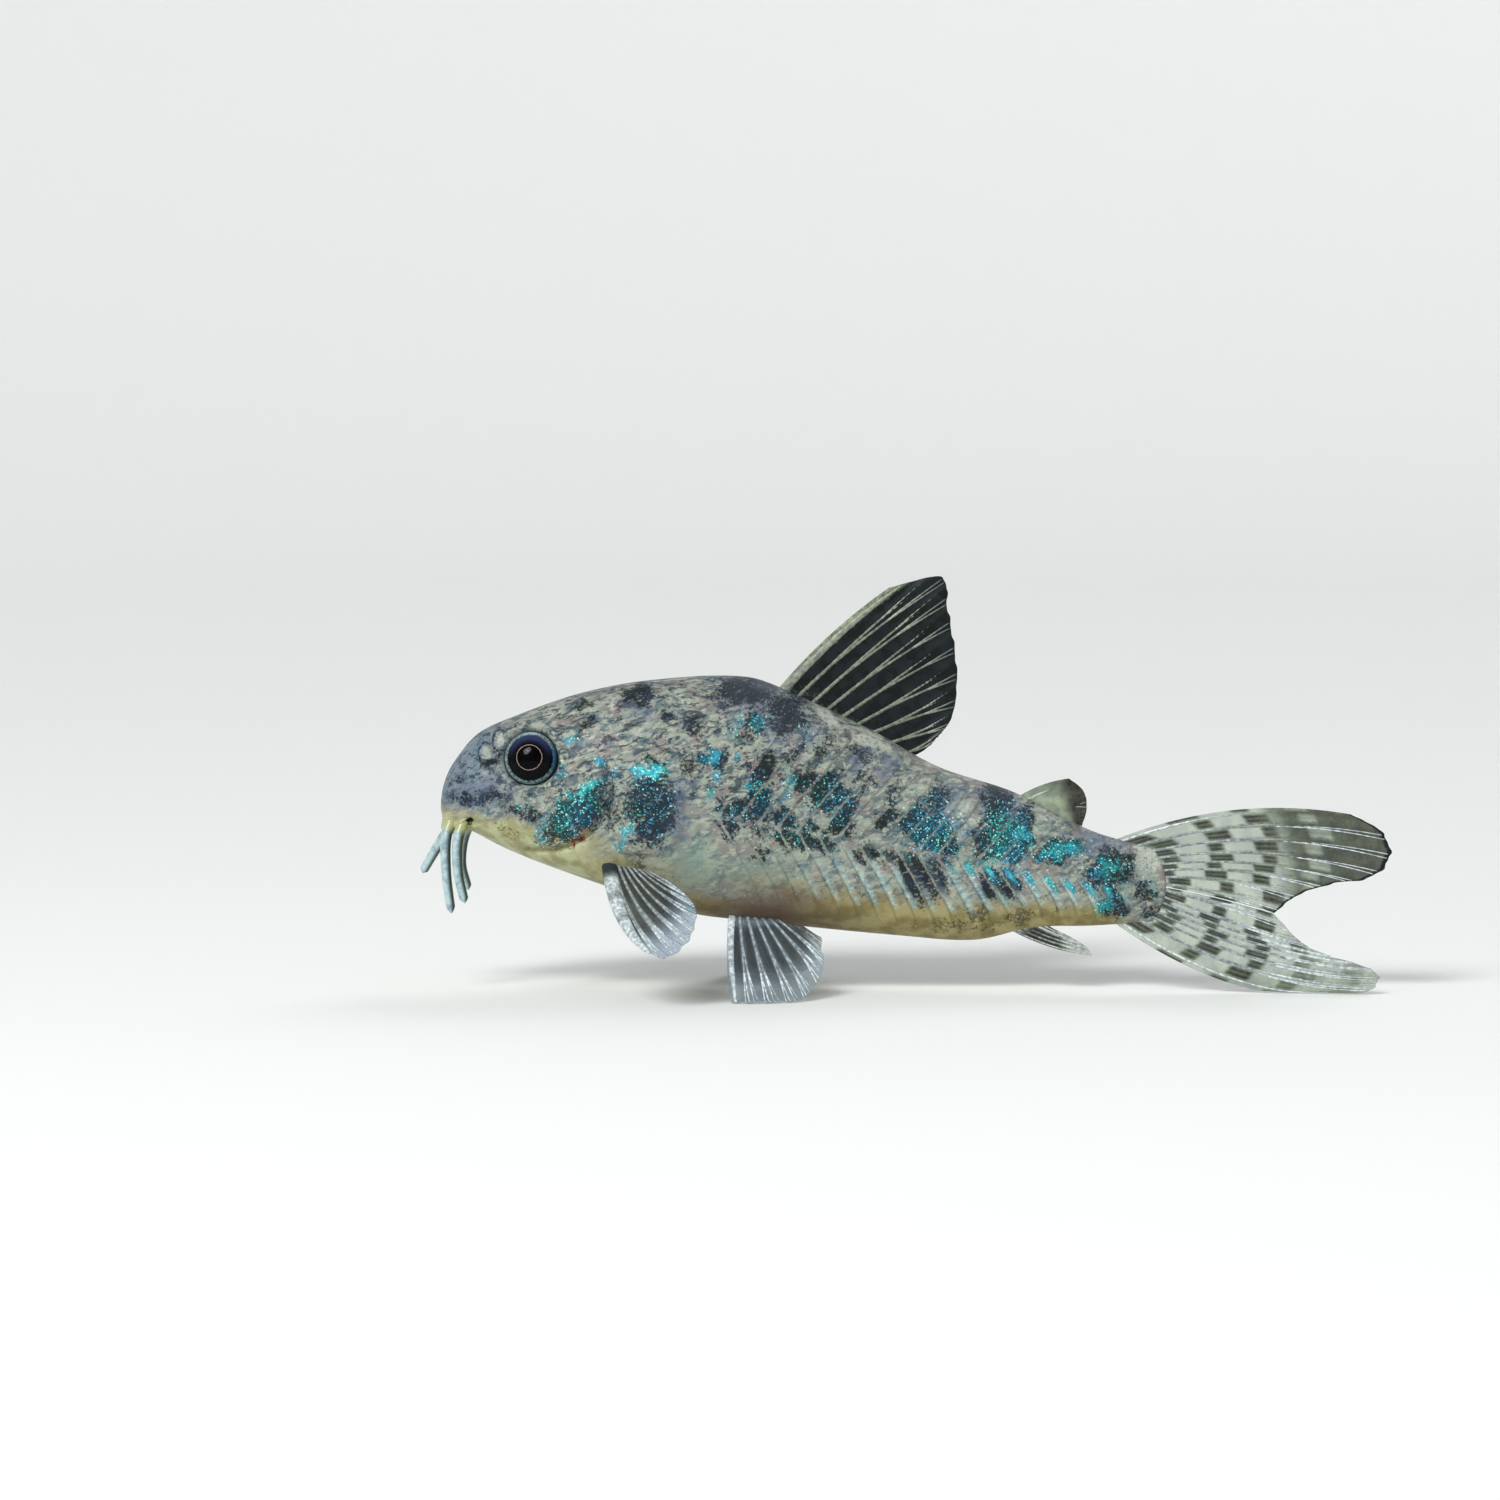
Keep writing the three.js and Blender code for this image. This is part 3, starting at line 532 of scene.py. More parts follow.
def add(tree, kind, *values, inputs=None, **settings):
    """One node with its settings and links, given back as its output. A kind is the node's type, its
    settings, the sockets that the values fill in that order, and the output. A value is a number, a
    colour or another node's output."""
    node_type, own, sockets, output_name = kind
    made = tree.nodes.new("ShaderNode" + node_type)
    for key, value in {**own, **settings}.items():
        setattr(made, key, value)
    for key, value in [*zip(sockets, values), *(inputs or {}).items()]:
        if isinstance(value, bpy.types.NodeSocket):
            tree.links.new(value, made.inputs[key])
        else:
            made.inputs[key].default_value = value
    return made.outputs[output_name] if made.outputs else made.inputs[0]


def new_material(name):
    """An empty node material, with its tree, its millimetre coordinates and its output's socket."""
    material = bpy.data.materials.new(name)
    material.use_nodes = True
    tree = material.node_tree
    tree.nodes.clear()
    output = add(tree, ("OutputMaterial", {}, (), 0))
    place = add(tree, ("TexCoord", {}, (), "Object"))
    per_mm = add(tree, ("VectorMath", {"operation": "SCALE"}, (0, "Scale"), 0), place, 1 / MM)
    return material, tree, output, per_mm


# %% [markdown]
# The markings. In life they are three kinds of cells in the skin: dark ones gather into saddles,
# blotches and specks, mirror-like ones shine turquoise and blue on the cheek, the shoulder and the
# plates, and yellow ones lie along the belly. That shine is painted into the colour, as a painted
# sheen and painted glints. Besides them there is a blue-violet haze over some of the dark, and cream
# on the plates' edges and the nostrils' flaps. The dark mask also carries painted shade in the gill
# opening and round the mouth. Each blotch is a soft ellipse, given as its centre, half its length
# and height, its tilt and its strength, in millimetres and degrees. The two flanks share the rows,
# and an unevenness makes them differ.

# %% Where the dark skin lies
DARK_BLOTCHES = [
    (12.6, 19.0, 1.3, 0.8, 0, 1.0), (19.4, 19.1, 2.6, 1.0, 0, 1.0), (22.0, 17.7, 1.7, 1.5, -35, 0.95),
    (16.0, 17.1, 0.8, 0.7, 20, 0.8), (19.9, 17.2, 0.8, 1.6, -25, 0.7), (14.6, 17.6, 0.5, 0.4, 20, 0.7),
    (24.2, 15.4, 0.5, 1.3, -38, 0.55), (26.6, 15.2, 1.4, 0.6, -30, 0.6), (28.6, 12.6, 0.5, 1.3, -35, 0.6),
    (35.4, 12.3, 1.2, 1.8, -15, 0.95), (36.9, 10.9, 0.9, 1.4, -20, 0.95), (31.4, 12.2, 0.9, 1.3, -35, 0.75),
    (9.4, 17.2, 1.0, 0.4, 25, 0.8), (10.8, 16.2, 1.1, 0.3, 12, 0.8), (13.7, 14.9, 0.7, 0.35, -30, 0.9),
    (15.7, 14.7, 0.9, 0.8, 0, 0.6), (11.8, 12.0, 0.4, 1.6, -6, 0.6), (9.2, 18.2, 0.6, 0.3, 20, 0.7),
    (43.0, 8.7, 1.6, 0.5, -12, 0.8), (44.4, 6.4, 0.35, 1.0, 0, 0.8), (45.0, 4.9, 0.7, 0.8, 0, 0.62),
    (42.2, 7.6, 1.7, 1.0, 10, 1.0), (42.7, 5.7, 1.1, 0.9, 0, 1.0), (39.0, 9.0, 1.6, 0.6, 12, 1.0),
    (2.6, 12.4, 2.2, 0.6, 8, 0.8), (5.4, 11.6, 1.7, 0.5, -10, 0.75), (3.5, 14.7, 0.7, 0.4, 20, 0.9),
    (7.6, 14.5, 0.35, 0.9, 0, 0.7), (1.3, 13.6, 0.7, 0.5, 60, 0.5), (8.75, 11.5, 2.9, 1.5, 42, 1.1),
    (13.5, 11.9, 1.7, 2.7, -6, 1.1), (11.1, 11.4, 0.4, 1.0, -20, 0.6),
]
PLATE_BLOTCHES = [
    (20.4, 14.3, 0.9, 1.3, -25, 1.25), (20.2, 12.0, 0.9, 1.9, 0, 1.25), (17.4, 15.0, 0.9, 0.8, 0, 1.1),
    (23.3, 13.5, 1.0, 1.0, -35, 1.1), (24.6, 12.8, 1.1, 1.5, -35, 1.3), (25.6, 11.9, 0.9, 1.4, -35, 1.2),
    (18.1, 11.2, 0.7, 1.4, 15, 1.25), (19.1, 11.6, 0.6, 1.2, 0, 1.15), (21.9, 10.6, 0.9, 1.5, 5, 1.3),
    (23.1, 10.0, 0.7, 1.1, 5, 1.2), (24.3, 9.9, 0.9, 0.9, 0, 1.25), (25.4, 10.7, 0.8, 0.9, 0, 1.15),
    (28.2, 11.2, 1.0, 0.7, 30, 1.05), (27.0, 9.0, 0.7, 0.7, 0, 1.0), (28.4, 8.7, 0.8, 0.7, 0, 1.0),
    (30.0, 10.9, 1.3, 1.0, 40, 1.25), (31.2, 10.2, 1.5, 1.2, 40, 1.3), (31.9, 9.3, 1.0, 1.2, 20, 1.2),
    (30.0, 7.5, 0.8, 2.0, 20, 1.25), (31.3, 7.4, 0.8, 1.7, 20, 1.15), (35.0, 10.0, 1.2, 2.0, -20, 1.3),
    (36.4, 9.6, 1.1, 2.0, -15, 1.3), (34.7, 7.1, 0.7, 1.4, 20, 1.2), (35.9, 7.0, 0.7, 1.3, 20, 1.15),
    (39.1, 9.0, 1.7, 0.9, 15, 1.25), (42.2, 7.5, 1.8, 1.5, 0, 1.2), (42.5, 5.7, 0.9, 1.1, 0, 1.1),
    (20.4, 9.0, 0.8, 0.7, 0, 0.7), (26.8, 13.6, 0.8, 0.7, -30, 0.7), (22.6, 15.5, 0.5, 1.2, -35, 0.7),
]
BELLY_DARK = [
    (34.0, 5.0, 0.7, 0.8, 0, 1.2), (36.7, 4.8, 1.0, 0.7, 0, 1.1), (32.3, 4.3, 1.8, 0.7, 0, 0.75),
    (39.3, 5.2, 0.6, 0.3, 0, 0.9), (34.9, 4.2, 0.9, 0.5, 0, 0.7), (26.6, 6.4, 0.6, 0.5, 0, 0.8),
    (30.2, 5.9, 0.5, 0.5, 0, 0.9), (23.0, 7.6, 0.25, 0.7, 0, 0.7), (12.8, 8.4, 0.5, 0.9, 0, 1.1),
    (4.6, 10.2, 1.8, 0.5, -28, 0.55), (27.6, 6.3, 0.4, 0.5, 0, 0.7),
]


def wander(waves, phase):
    """A smooth unevenness between -1 and 1 over the skin: the mean of three sines that run in
    different directions, and differently on the two flanks."""
    flank = 2.1 * np.sign(angle)
    first = np.sin(waves * (0.9 * body_x + 0.6 * body_z) + phase + flank)
    second = np.sin(waves * (1.1 * body_z - 0.8 * body_x) + 2.3 * phase - flank)
    third = np.sin(waves * (1.9 * body_x + 1.7 * body_z) + 4.1 * phase + flank)
    return (first + second + 0.7 * third) / 2.7


wandered_x = body_x + 0.34 * wander(2.6, 0.4) + 0.16 * wander(7.3, 1.9)
wandered_z = body_z + 0.3 * wander(2.9, 3.1) + 0.16 * wander(6.7, 5.2)


def blotches(rows):
    """The strongest of several soft ellipses at each grid point of the skin, drawn with an unsteady
    hand. An ellipse's own distance is 1 on its outline, and it fades from 0.3 to 1.4 of that."""
    most = np.zeros(body_x.shape)
    for x, z, length, height, tilt, strength in rows:
        turned = math.radians(tilt)
        along = (wandered_x - x) * math.cos(turned) + (wandered_z - z) * math.sin(turned)
        across = (wandered_z - z) * math.cos(turned) - (wandered_x - x) * math.sin(turned)
        apart = np.hypot(along / length, across / height)
        most = np.maximum(most, strength * (1 - smoothstep(0.3, 1.4, apart)))
    return most


plate_middle = smoothstep(0.0, 0.16, share_of_plate) * (1 - smoothstep(0.84, 0.97, share_of_plate))
near_seam = bump(body_z, seam_at(body_x), 0.22)
plate_dark = blotches(PLATE_BLOTCHES) * (0.15 + 0.85 * plate_middle) * (1 - 0.6 * near_seam)
# Painted shade: the crease of the gill opening, and the mouth's groove and corners, are darkened in the
# colour as the shade in those recesses, and go into the dark mask.
painted_crease_shade = 0.9 * bump(from_opening, 0, 0.1) * smoothstep(9.5, 12, body_z)
mouth_shade = np.maximum(at_mouth * bump(body_x, mouth_x + 0.02, 0.14), -2.4 * corner)
dark = np.maximum.reduce([blotches(DARK_BLOTCHES), plate_dark, painted_crease_shade, mouth_shade])
print("dark skin covers", round(100 * float((dark > 0.5).mean())), "% of the grid")

# %% Where the mirror-like skin shines, which the finish paints as sheen and glints
SHINE_PATCHES = [
    (8.7, 11.7, 2.6, 1.3, 42, 0.75), (9.2, 13.1, 1.7, 0.42, 30, 1.7), (6.6, 10.5, 0.6, 0.9, 0, 0.9),
    (13.5, 12.2, 1.6, 2.3, 0, 0.45), (13.4, 14.3, 1.3, 0.55, -6, 1.9), (8.5, 16.1, 0.6, 0.35, -15, 1.2),
    (7.7, 14.2, 0.3, 0.8, -15, 1.1), (10.3, 14.9, 0.5, 0.3, 0, 1.3), (11.9, 10.4, 0.35, 0.8, -20, 1.4),
    (11.5, 9.6, 0.5, 0.3, 0, 1.3), (5.2, 12.0, 0.7, 0.35, -10, 0.9), (11.3, 14.0, 0.22, 0.9, 0, 1.0),
    (17.3, 15.2, 0.5, 0.8, -30, 1.3), (19.0, 15.0, 0.4, 0.35, 0, 1.3), (17.7, 14.0, 0.4, 0.6, 0, 1.2),
    (17.2, 12.8, 0.5, 0.4, 0, 1.2), (19.6, 13.2, 0.6, 0.5, 0, 0.9), (18.2, 11.6, 1.6, 0.6, 0, 0.5),
    (22.0, 13.2, 0.6, 1.2, -20, 0.9), (20.4, 12.6, 0.8, 1.6, 0, 0.6), (24.8, 12.2, 2.0, 1.6, -20, 0.55),
    (23.0, 10.4, 2.4, 1.2, -10, 0.35), (31.2, 10.4, 2.2, 2.2, -20, 0.75), (35.8, 9.6, 1.9, 2.6, 0, 0.85),
    (39.2, 9.0, 1.9, 0.7, 10, 1.2), (42.2, 7.9, 1.5, 0.7, 8, 1.1), (42.1, 5.6, 0.6, 1.0, -10, 1.1),
    (42.6, 6.6, 1.5, 1.6, 0, 0.5), (36.9, 10.2, 0.6, 0.9, -20, 1.2), (20.2, 17.2, 0.5, 1.0, -28, 0.9),
    (18.8, 17.0, 0.4, 0.9, -28, 0.8), (23.2, 16.6, 0.6, 0.9, -25, 0.5), (44.4, 7.2, 0.5, 0.9, 0, 0.35),
]
on_flank = smoothstep(17, 21, body_x) * (1 - smoothstep(42, 43.5, body_x))
seam_glow = bump(body_z, seam_at(body_x) - 0.55, 0.5) * smoothstep(0.04, 0.3, share_of_plate)
seam_glow = seam_glow * (1 - smoothstep(0.5, 0.72, share_of_plate)) * on_flank
seam_glow = seam_glow * smoothstep(31, 33.5, body_x)
shine = np.maximum(blotches(SHINE_PATCHES), 1.6 * seam_glow)
HAZE_PATCHES = [
    (15.0, 12.0, 0.9, 2.2, 0, 1.0), (19.8, 19.0, 2.6, 1.6, 0, 1.0), (22.0, 17.2, 1.2, 1.9, -35, 1.0),
    (23.2, 16.1, 1.2, 0.8, 50, 0.9), (26.4, 14.7, 0.5, 1.2, -38, 0.9), (28.3, 14.3, 0.5, 1.3, -38, 0.8),
    (31.8, 11.8, 1.0, 1.8, -38, 0.9), (35.3, 12.2, 1.6, 1.2, 0, 1.0), (36.6, 11.0, 1.0, 1.4, 0, 0.9),
    (41.6, 9.4, 2.4, 0.7, -8, 0.9), (3.0, 12.9, 1.7, 0.6, 5, 0.7), (12.9, 17.9, 1.0, 0.7, 0, 0.7),
]
haze = blotches(HAZE_PATCHES)
print("mirror-like skin covers", round(100 * float((shine > 0.5).mean())), "% of the grid")

# %% The mottling, the plates' pale edges, the belly's yellow and the rosy skin
mottled = smoothstep(10.8, 13, body_z) * (1 - 0.55 * smoothstep(22, 30, body_x))
mottled = np.maximum(mottled, 0.35 * smoothstep(-1, 1, body_z - seam_at(body_x)))
specks = np.maximum(blotches(BELLY_DARK), 0.18 * bump(body_x, 33, 5) * (body_z < 5.5))
upper_edge = smoothstep(0.86, 0.91, share_of_plate) * upper_row * on_scutes
bright_edges = bump(body_x, 20, 3.2) * bump(body_z, 16.3, 1.7)
ribs = smoothstep(0.0, 0.12, share_of_plate) * (1 - smoothstep(0.2, 0.42, share_of_plate))
lower_streak = ribs * lower_row * on_scutes * smoothstep(21, 27, body_x)
lower_streak = lower_streak * (1 - smoothstep(0.66, 0.72, turn)) * (1 - 0.7 * blotches(PLATE_BLOTCHES))
lips_pale = at_mouth * bump(body_x, mouth_x - 0.5, 0.4)
CREAM_PATCHES = [
    (24.6, 17.3, 1.8, 0.6, -30, 0.8), (27.4, 15.9, 1.8, 0.6, -28, 0.8), (33.2, 11.0, 0.8, 1.9, -20, 0.6),
    (38.4, 11.3, 1.6, 0.6, -20, 0.7), (44.6, 8.5, 1.2, 1.2, -10, 0.85), (10.9, 18.4, 0.5, 0.5, 0, 0.8),
    (11.0, 12.6, 0.25, 1.5, 8, 0.8), (12.6, 16.6, 1.6, 0.3, 10, 0.6), (10.2, 17.6, 1.4, 0.3, 15, 0.6),
    (14.8, 18.6, 1.0, 0.5, 0, 0.6), (2.9, 13.7, 0.8, 0.25, 30, 0.5), (7.2, 13.9, 0.9, 0.3, 30, 0.6),
]
cream = np.maximum(upper_edge * (0.04 + 0.8 * bright_edges), blotches(CREAM_PATCHES))
for nostril_x, nostril_z in NOSTRILS:
    from_pit = np.hypot(body_x - nostril_x + 0.05, (body_z - nostril_z) * 0.75)
    cream = np.maximum(cream, 0.9 * bump(from_pit, 0.15, 0.26))
    flap_edge = bump(from_pit, 0.47, 0.1) * smoothstep(-0.35, 0.35, nostril_x + 0.2 - body_x)
    dark = np.maximum(dark, 0.8 * flap_edge)
SHOULDER_RIDGE = [(11.6, 14.9), (12.8, 15.1), (14.0, 15.2), (14.9, 14.4)]
cream = np.maximum(cream, 0.7 * bump(distance_to(SHOULDER_RIDGE, wandered_x, wandered_z), 0, 0.15))
cream = cream * (1 - 0.85 * bump(from_eye, EYE_RADIUS - 0.2, 0.25))
belly_share = (seam_at(body_x) - body_z) / (seam_at(body_x) - belly_at(body_x))
throat = smoothstep(12.0, 10.9, wandered_z + 0.1 * body_x) * (1 - smoothstep(8, 12, body_x))
throat = np.maximum.reduce([throat, lips_pale, 2.6 * lobe])
yellow = smoothstep(0.38, 0.7, belly_share + 0.05 * wander(2.3, 1.0)) * smoothstep(1, 4, body_x)
yellow = yellow * (1 - 0.9 * bump(wandered_x, 17.0, 3.6) * (1 - smoothstep(0.7, 0.85, belly_share)))
yellow = np.maximum(yellow, throat) * (1 - smoothstep(42.2, 44.0, wandered_x))
rosy = bump(wandered_x, 20.4, 4.6) * smoothstep(0.5, 0.66, belly_share)
green = 0.9 * bump(wandered_x, 16.0, 1.8) * bump(body_z, 8.2, 1.8)
green = np.maximum(green, 0.6 * bump(body_x, 20, 3) * bump(body_z, 8, 1))
gill_red = blotches([(8.95, 9.9, 0.75, 0.15, 36, 1.2)])
grey = smoothstep(6, 2, body_x) * smoothstep(11.2, 12.2, body_z)
skin_marks = {
    "dark": dark, "shine": shine, "haze": haze, "mottled": mottled, "specks": specks,
    "pale": lower_streak, "cream": cream, "green": green, "yellow": yellow, "throat": throat,
    "rosy": rosy, "grey": grey, "gill_red": gill_red,
}
print("yellow skin covers", round(100 * float((yellow > 0.5).mean())), "% of the grid")

# %% [markdown]
# The skin is living skin under a coat of clear slime. Light goes a little way in and comes out warm,
# which is the subsurface share, and the slime gives small sharp lights, which is the coat. The dark
# cells show as grains, so every soft blotch is broken up by noise whose grains are a fifth of a
# millimetre and less. The mottling lies along the slope of the head and is a little streaked. The
# mirror-like cells are the cells of a Voronoi pattern, each lit or not by its own random number. Their
# turquoise sheen, glow and glints are painted highlights in the base colour, with a little metal
# shine added where the glints are.

# %% The skin's finish, with each pattern's size as the number of its grains in a millimetre
skin_finish, tree, output, per_mm = new_material("wet_mottled_skin")
on = {name: add(tree, READ, attribute_name=name) for name in skin_marks}
HEAD_LINE = (0, math.radians(-17), 0)
STREAKED = (1.6, 1, 0.8)
GRAINS_PER_MM = 5.5
GRANULES_PER_MM = 7
GLINTS_PER_MM = 10
CLOUDS_PER_MM = 0.8
DRIFTS_PER_MM = 0.45
MOTTLES_PER_MM = 1.5
FLECKS_PER_MM = 3.2
PATCHES_PER_MM = 1.25
SPECKLES_PER_MM = 2.9

lying = add(tree, TURNED, per_mm, HEAD_LINE, STREAKED)
grain = add(tree, NOISE, per_mm, GRAINS_PER_MM, 4, 0.7)
cloud = add(tree, NOISE, per_mm, CLOUDS_PER_MM, 3)
drift = add(tree, NOISE, per_mm, DRIFTS_PER_MM, 2)
mottle = add(tree, NOISE, lying, MOTTLES_PER_MM, 5, 0.62, 0.6)
flecks = add(tree, NOISE, lying, FLECKS_PER_MM, 4, 0.6, 0.3)
patches = add(tree, NOISE, lying, PATCHES_PER_MM, 4, 0.6, 0.8)
specklings = add(tree, NOISE, lying, SPECKLES_PER_MM, 3, 0.6, 0.5)
granules = add(tree, CELLS, per_mm, GRANULES_PER_MM)
glints = add(tree, CELLS, per_mm, GLINTS_PER_MM)
glint_chance = add(tree, PARTS, glints.node.outputs["Color"])
glint_hue = glint_chance.node.outputs[1]

# %% The skin's ground: grey-blue and beige above, golden below
upper = add(tree, MIX, add(tree, RAMP, mottle, 0.36, 0.6), linear("#4f6067"), linear("#959b8e"))
upper = add(tree, MIX, add(tree, RAMP, cloud, 0.5, 0.66), upper, linear("#7f7975"))
lights = add(tree, RAMP, flecks, 0.52, 0.64)
stains = add(tree, TIMES, add(tree, RAMP, patches, 0.53, 0.6), on["mottled"])
small_stains = add(tree, TIMES, add(tree, RAMP, specklings, 0.54, 0.62), on["mottled"])
for mask, share, code in (
    (lights, 0.75, "#a9ab9a"),
    (on["grey"], 0.7, "#5d7083"),
    (on["green"], 0.75, "#788e80"),
    (stains, 0.85, "#35424c"),
    (small_stains, 0.8, "#282f34"),
):
    upper = add(tree, MIX, add(tree, TIMES, mask, share), upper, linear(code))
lower = add(tree, MIX, add(tree, RAMP, cloud, 0.35, 0.65), linear("#7d7246"), linear("#a1976a"))
lower = add(tree, MIX, add(tree, TIMES, on["rosy"], 0.9), lower, linear("#69564b"))
soft_yellow = add(tree, MIX, add(tree, RAMP, cloud, 0.4, 0.6), linear("#98976c"), linear("#b5b893"))
lower = add(tree, MIX, add(tree, TIMES, on["throat"], 0.9), lower, soft_yellow)
ground = add(tree, MIX, on["yellow"], upper, lower)
ground = add(tree, MIX, add(tree, TIMES, on["haze"], 0.55), ground, linear("#5c6780"))
spread = add(tree, TIMES, add(tree, MINUS, grain, 0.5), 2.2)
spread = add(tree, PLUS, spread, add(tree, TIMES, add(tree, MINUS, flecks, 0.5), 1.2))
patchy = add(tree, RAMP, add(tree, PLUS, on["cream"], add(tree, TIMES, spread, 0.7)), 0.4, 1.0)
ground = add(tree, MIX, add(tree, TIMES, patchy, 0.85), ground, linear("#b4b9ad"))

# %% Dark cells and painted crease shade, pale streaks, and the mirror-like cells' painted sheen and glints
inked = add(tree, RAMP, add(tree, PLUS, on["dark"], spread), 0.25, 0.75)
thin_places = add(tree, RAMP, flecks, 0.56, 0.7)
inked = add(tree, MINUS, inked, add(tree, TIMES, thin_places, 0.5))
inked = add(tree, LARGER, inked, 0.0)
ink = add(tree, MIX, add(tree, RAMP, drift, 0.42, 0.58), linear("#0b1718"), linear("#141c30"))
ink = add(tree, MIX, add(tree, TIMES, on["haze"], 0.7), ink, linear("#34373f"))
# Under the mirror-like skin the dark cells turn deep teal: a painted sheen over the dark.
ink = add(tree, MIX, add(tree, SMALLER, on["shine"], 1.0), ink, linear("#062a30"))
fine_spread = add(tree, TIMES, add(tree, MINUS, grain, 0.5), 4.5)
speckle = add(tree, RAMP, add(tree, PLUS, on["specks"], fine_spread), 0.6, 1.1)
whitened = add(tree, TIMES, on["pale"], add(tree, RAMP, grain, 0.3, 0.6))
streak_colour = add(tree, MIX, add(tree, RAMP, flecks, 0.4, 0.6), linear("#7fb4bf"), linear("#c3d8d4"))
# Painted sheen: a teal wash where the mirror-like cells lie.
painted_sheen = add(tree, PLUS, on["shine"], add(tree, TIMES, spread, 0.8))
painted_sheen = add(tree, RAMP, painted_sheen, 0.5, 1.3)
painted_sheen_colour = add(tree, MIX, add(tree, RAMP, drift, 0.42, 0.58), linear("#1a7275"), linear("#1c647c"))
# Painted glow: bright turquoise where the mirror-like cells are densest.
painted_glow = add(tree, TIMES, add(tree, RAMP, on["shine"], 0.85, 1.7), add(tree, RAMP, grain, 0.36, 0.56))
# Painted glints: each lit Voronoi cell gets a bright turquoise, blue or near-white colour, and the mask
# below picks the lit cells.
painted_glint_colour = add(tree, MIX, add(tree, RAMP, drift, 0.42, 0.58), linear("#35c4bf"), linear("#2fa0cc"))
painted_glint_colour = add(tree, MIX, add(tree, RAMP, glint_hue, 0.66, 0.86), painted_glint_colour, linear("#b5f6f0"))
painted_glint_colour = add(tree, MIX, add(tree, RAMP, glint_hue, 0.3, 0.16), painted_glint_colour, linear("#1f6f8c"))
painted_glints = add(tree, PLUS, glint_chance, add(tree, TIMES, on["shine"], 0.5))
edge_of_glint = add(tree, RAMP, glints, 0.75, 0.3)
painted_glints = add(tree, TIMES, add(tree, RAMP, painted_glints, 0.94, 1.06), edge_of_glint)
for mask, share, colour in (
    (inked, 0.95, ink),
    (speckle, 0.75, linear("#35332a")),
    (whitened, 0.85, streak_colour),
    (painted_sheen, 0.8, painted_sheen_colour),
    (painted_glow, 0.8, linear("#4cc2c3")),
    (painted_glints, 0.8, painted_glint_colour),
    (on["gill_red"], 0.85, linear("#6e1418")),
):
    ground = add(tree, MIX, add(tree, TIMES, mask, share), ground, colour)

# %% The skin's relief and gloss
height = add(tree, PLUS, add(tree, TIMES, grain, 0.6), add(tree, TIMES, granules, 0.4))
relief = add(tree, RELIEF, height, 0.4, 0.07 * MM)
skin_shader = add(
    tree,
    SHADER,
    inputs={
        "Base Color": ground, "Roughness": add(tree, STRETCH, grain, -0.6, 1.6), "IOR": 1.34,
        "Metallic": add(tree, TIMES, painted_glints, 0.35), "Subsurface Weight": 0.06,
        "Subsurface Radius": (1.0, 0.7, 0.45), "Subsurface Scale": 0.3 * MM,
        "Specular IOR Level": 0.2, "Coat Weight": 0.12, "Coat Roughness": 0.1, "Coat IOR": 1.34,
        "Normal": relief,
    },
)
tree.links.new(skin_shader, output)
print(skin_finish.name, "has", len(tree.nodes), "nodes")

# %% The skin: one piece from the snout to the root of the tail fin
STUB_THINNING = 0.72
STUB_THINS = (42.6, 45.4)
rings = skin_point(body_x, angle, body_lift)
end_bulge = TAIL_BULGE * np.sin(angle) ** 2
rings[..., 0] += end_bulge * smoothstep(FLESH_LENGTH - 1.2, FLESH_LENGTH, station)
thinned = 1 - STUB_THINNING * smoothstep(*STUB_THINS, rings[..., 0])
rings[..., 1] = swing(body_x) + (rings[..., 1] - swing(body_x)) * thinned
tail_point = np.array([FLESH_LENGTH + TAIL_BULGE, swing(FLESH_LENGTH), seam_at(FLESH_LENGTH)])
closing = [tail_point + (rings[-1] - tail_point) * share for share in (0.75, 0.5, 0.25)]
rings = np.concatenate([rings, np.stack(closing)])
snout_point = np.array([0, 0, SNOUT_HEIGHT])


def over_rings(values):
    """One number for each point of the skin: the grid's, the last ring's for the closing ones, and
    the means of the first ring and the last for the two end points."""
    full = np.concatenate([values, np.repeat(values[-1:], len(closing), axis=0)])
    return np.concatenate([full.ravel(), [values[0].mean(), values[-1].mean()]])


make_piece(
    "skin",
    tube_shell(rings, snout_point, tail_point),
    skin_finish,
    "skin",
    ("head", "trunk", "tail_stalk"),
    **{name: over_rings(values) for name, values in skin_marks.items()},
)

# %% [markdown]
# An eye is a ball pressed flat against the head. Its rings, from the middle out, are the black pupil,
# a thin gold ring, the dark iris and a grey-green outer ring. The top of the iris is painted with a
# blue-violet sheen and the top of the outer ring with a pale highlight, as light from above would
# give them. The rings follow the distance from the ball's axis, so that distance goes on the piece as
# an attribute. The coat is the clear front.

# %% The eyes' finish, whose rings begin and are full at these distances from the axis
PUPIL_EDGE = (0.76, 0.78)
GOLD_STARTS = (0.77, 0.79)
GOLD_ENDS = (0.83, 0.8)
IRIS_EDGE = (1.4, 1.52)
SOCKET_EDGE = (1.6, 1.68)
EYE_FLECKS_PER_MM = 7

eye_finish, tree, output, per_mm = new_material("wet_eye")
out, raised, behind = (add(tree, READ, attribute_name=name) for name in ("out", "raised", "behind"))
fleck = add(tree, NOISE, per_mm, EYE_FLECKS_PER_MM, 3)
wavy = add(tree, PLUS, out, add(tree, TIMES, add(tree, MINUS, fleck, 0.5), 0.09))
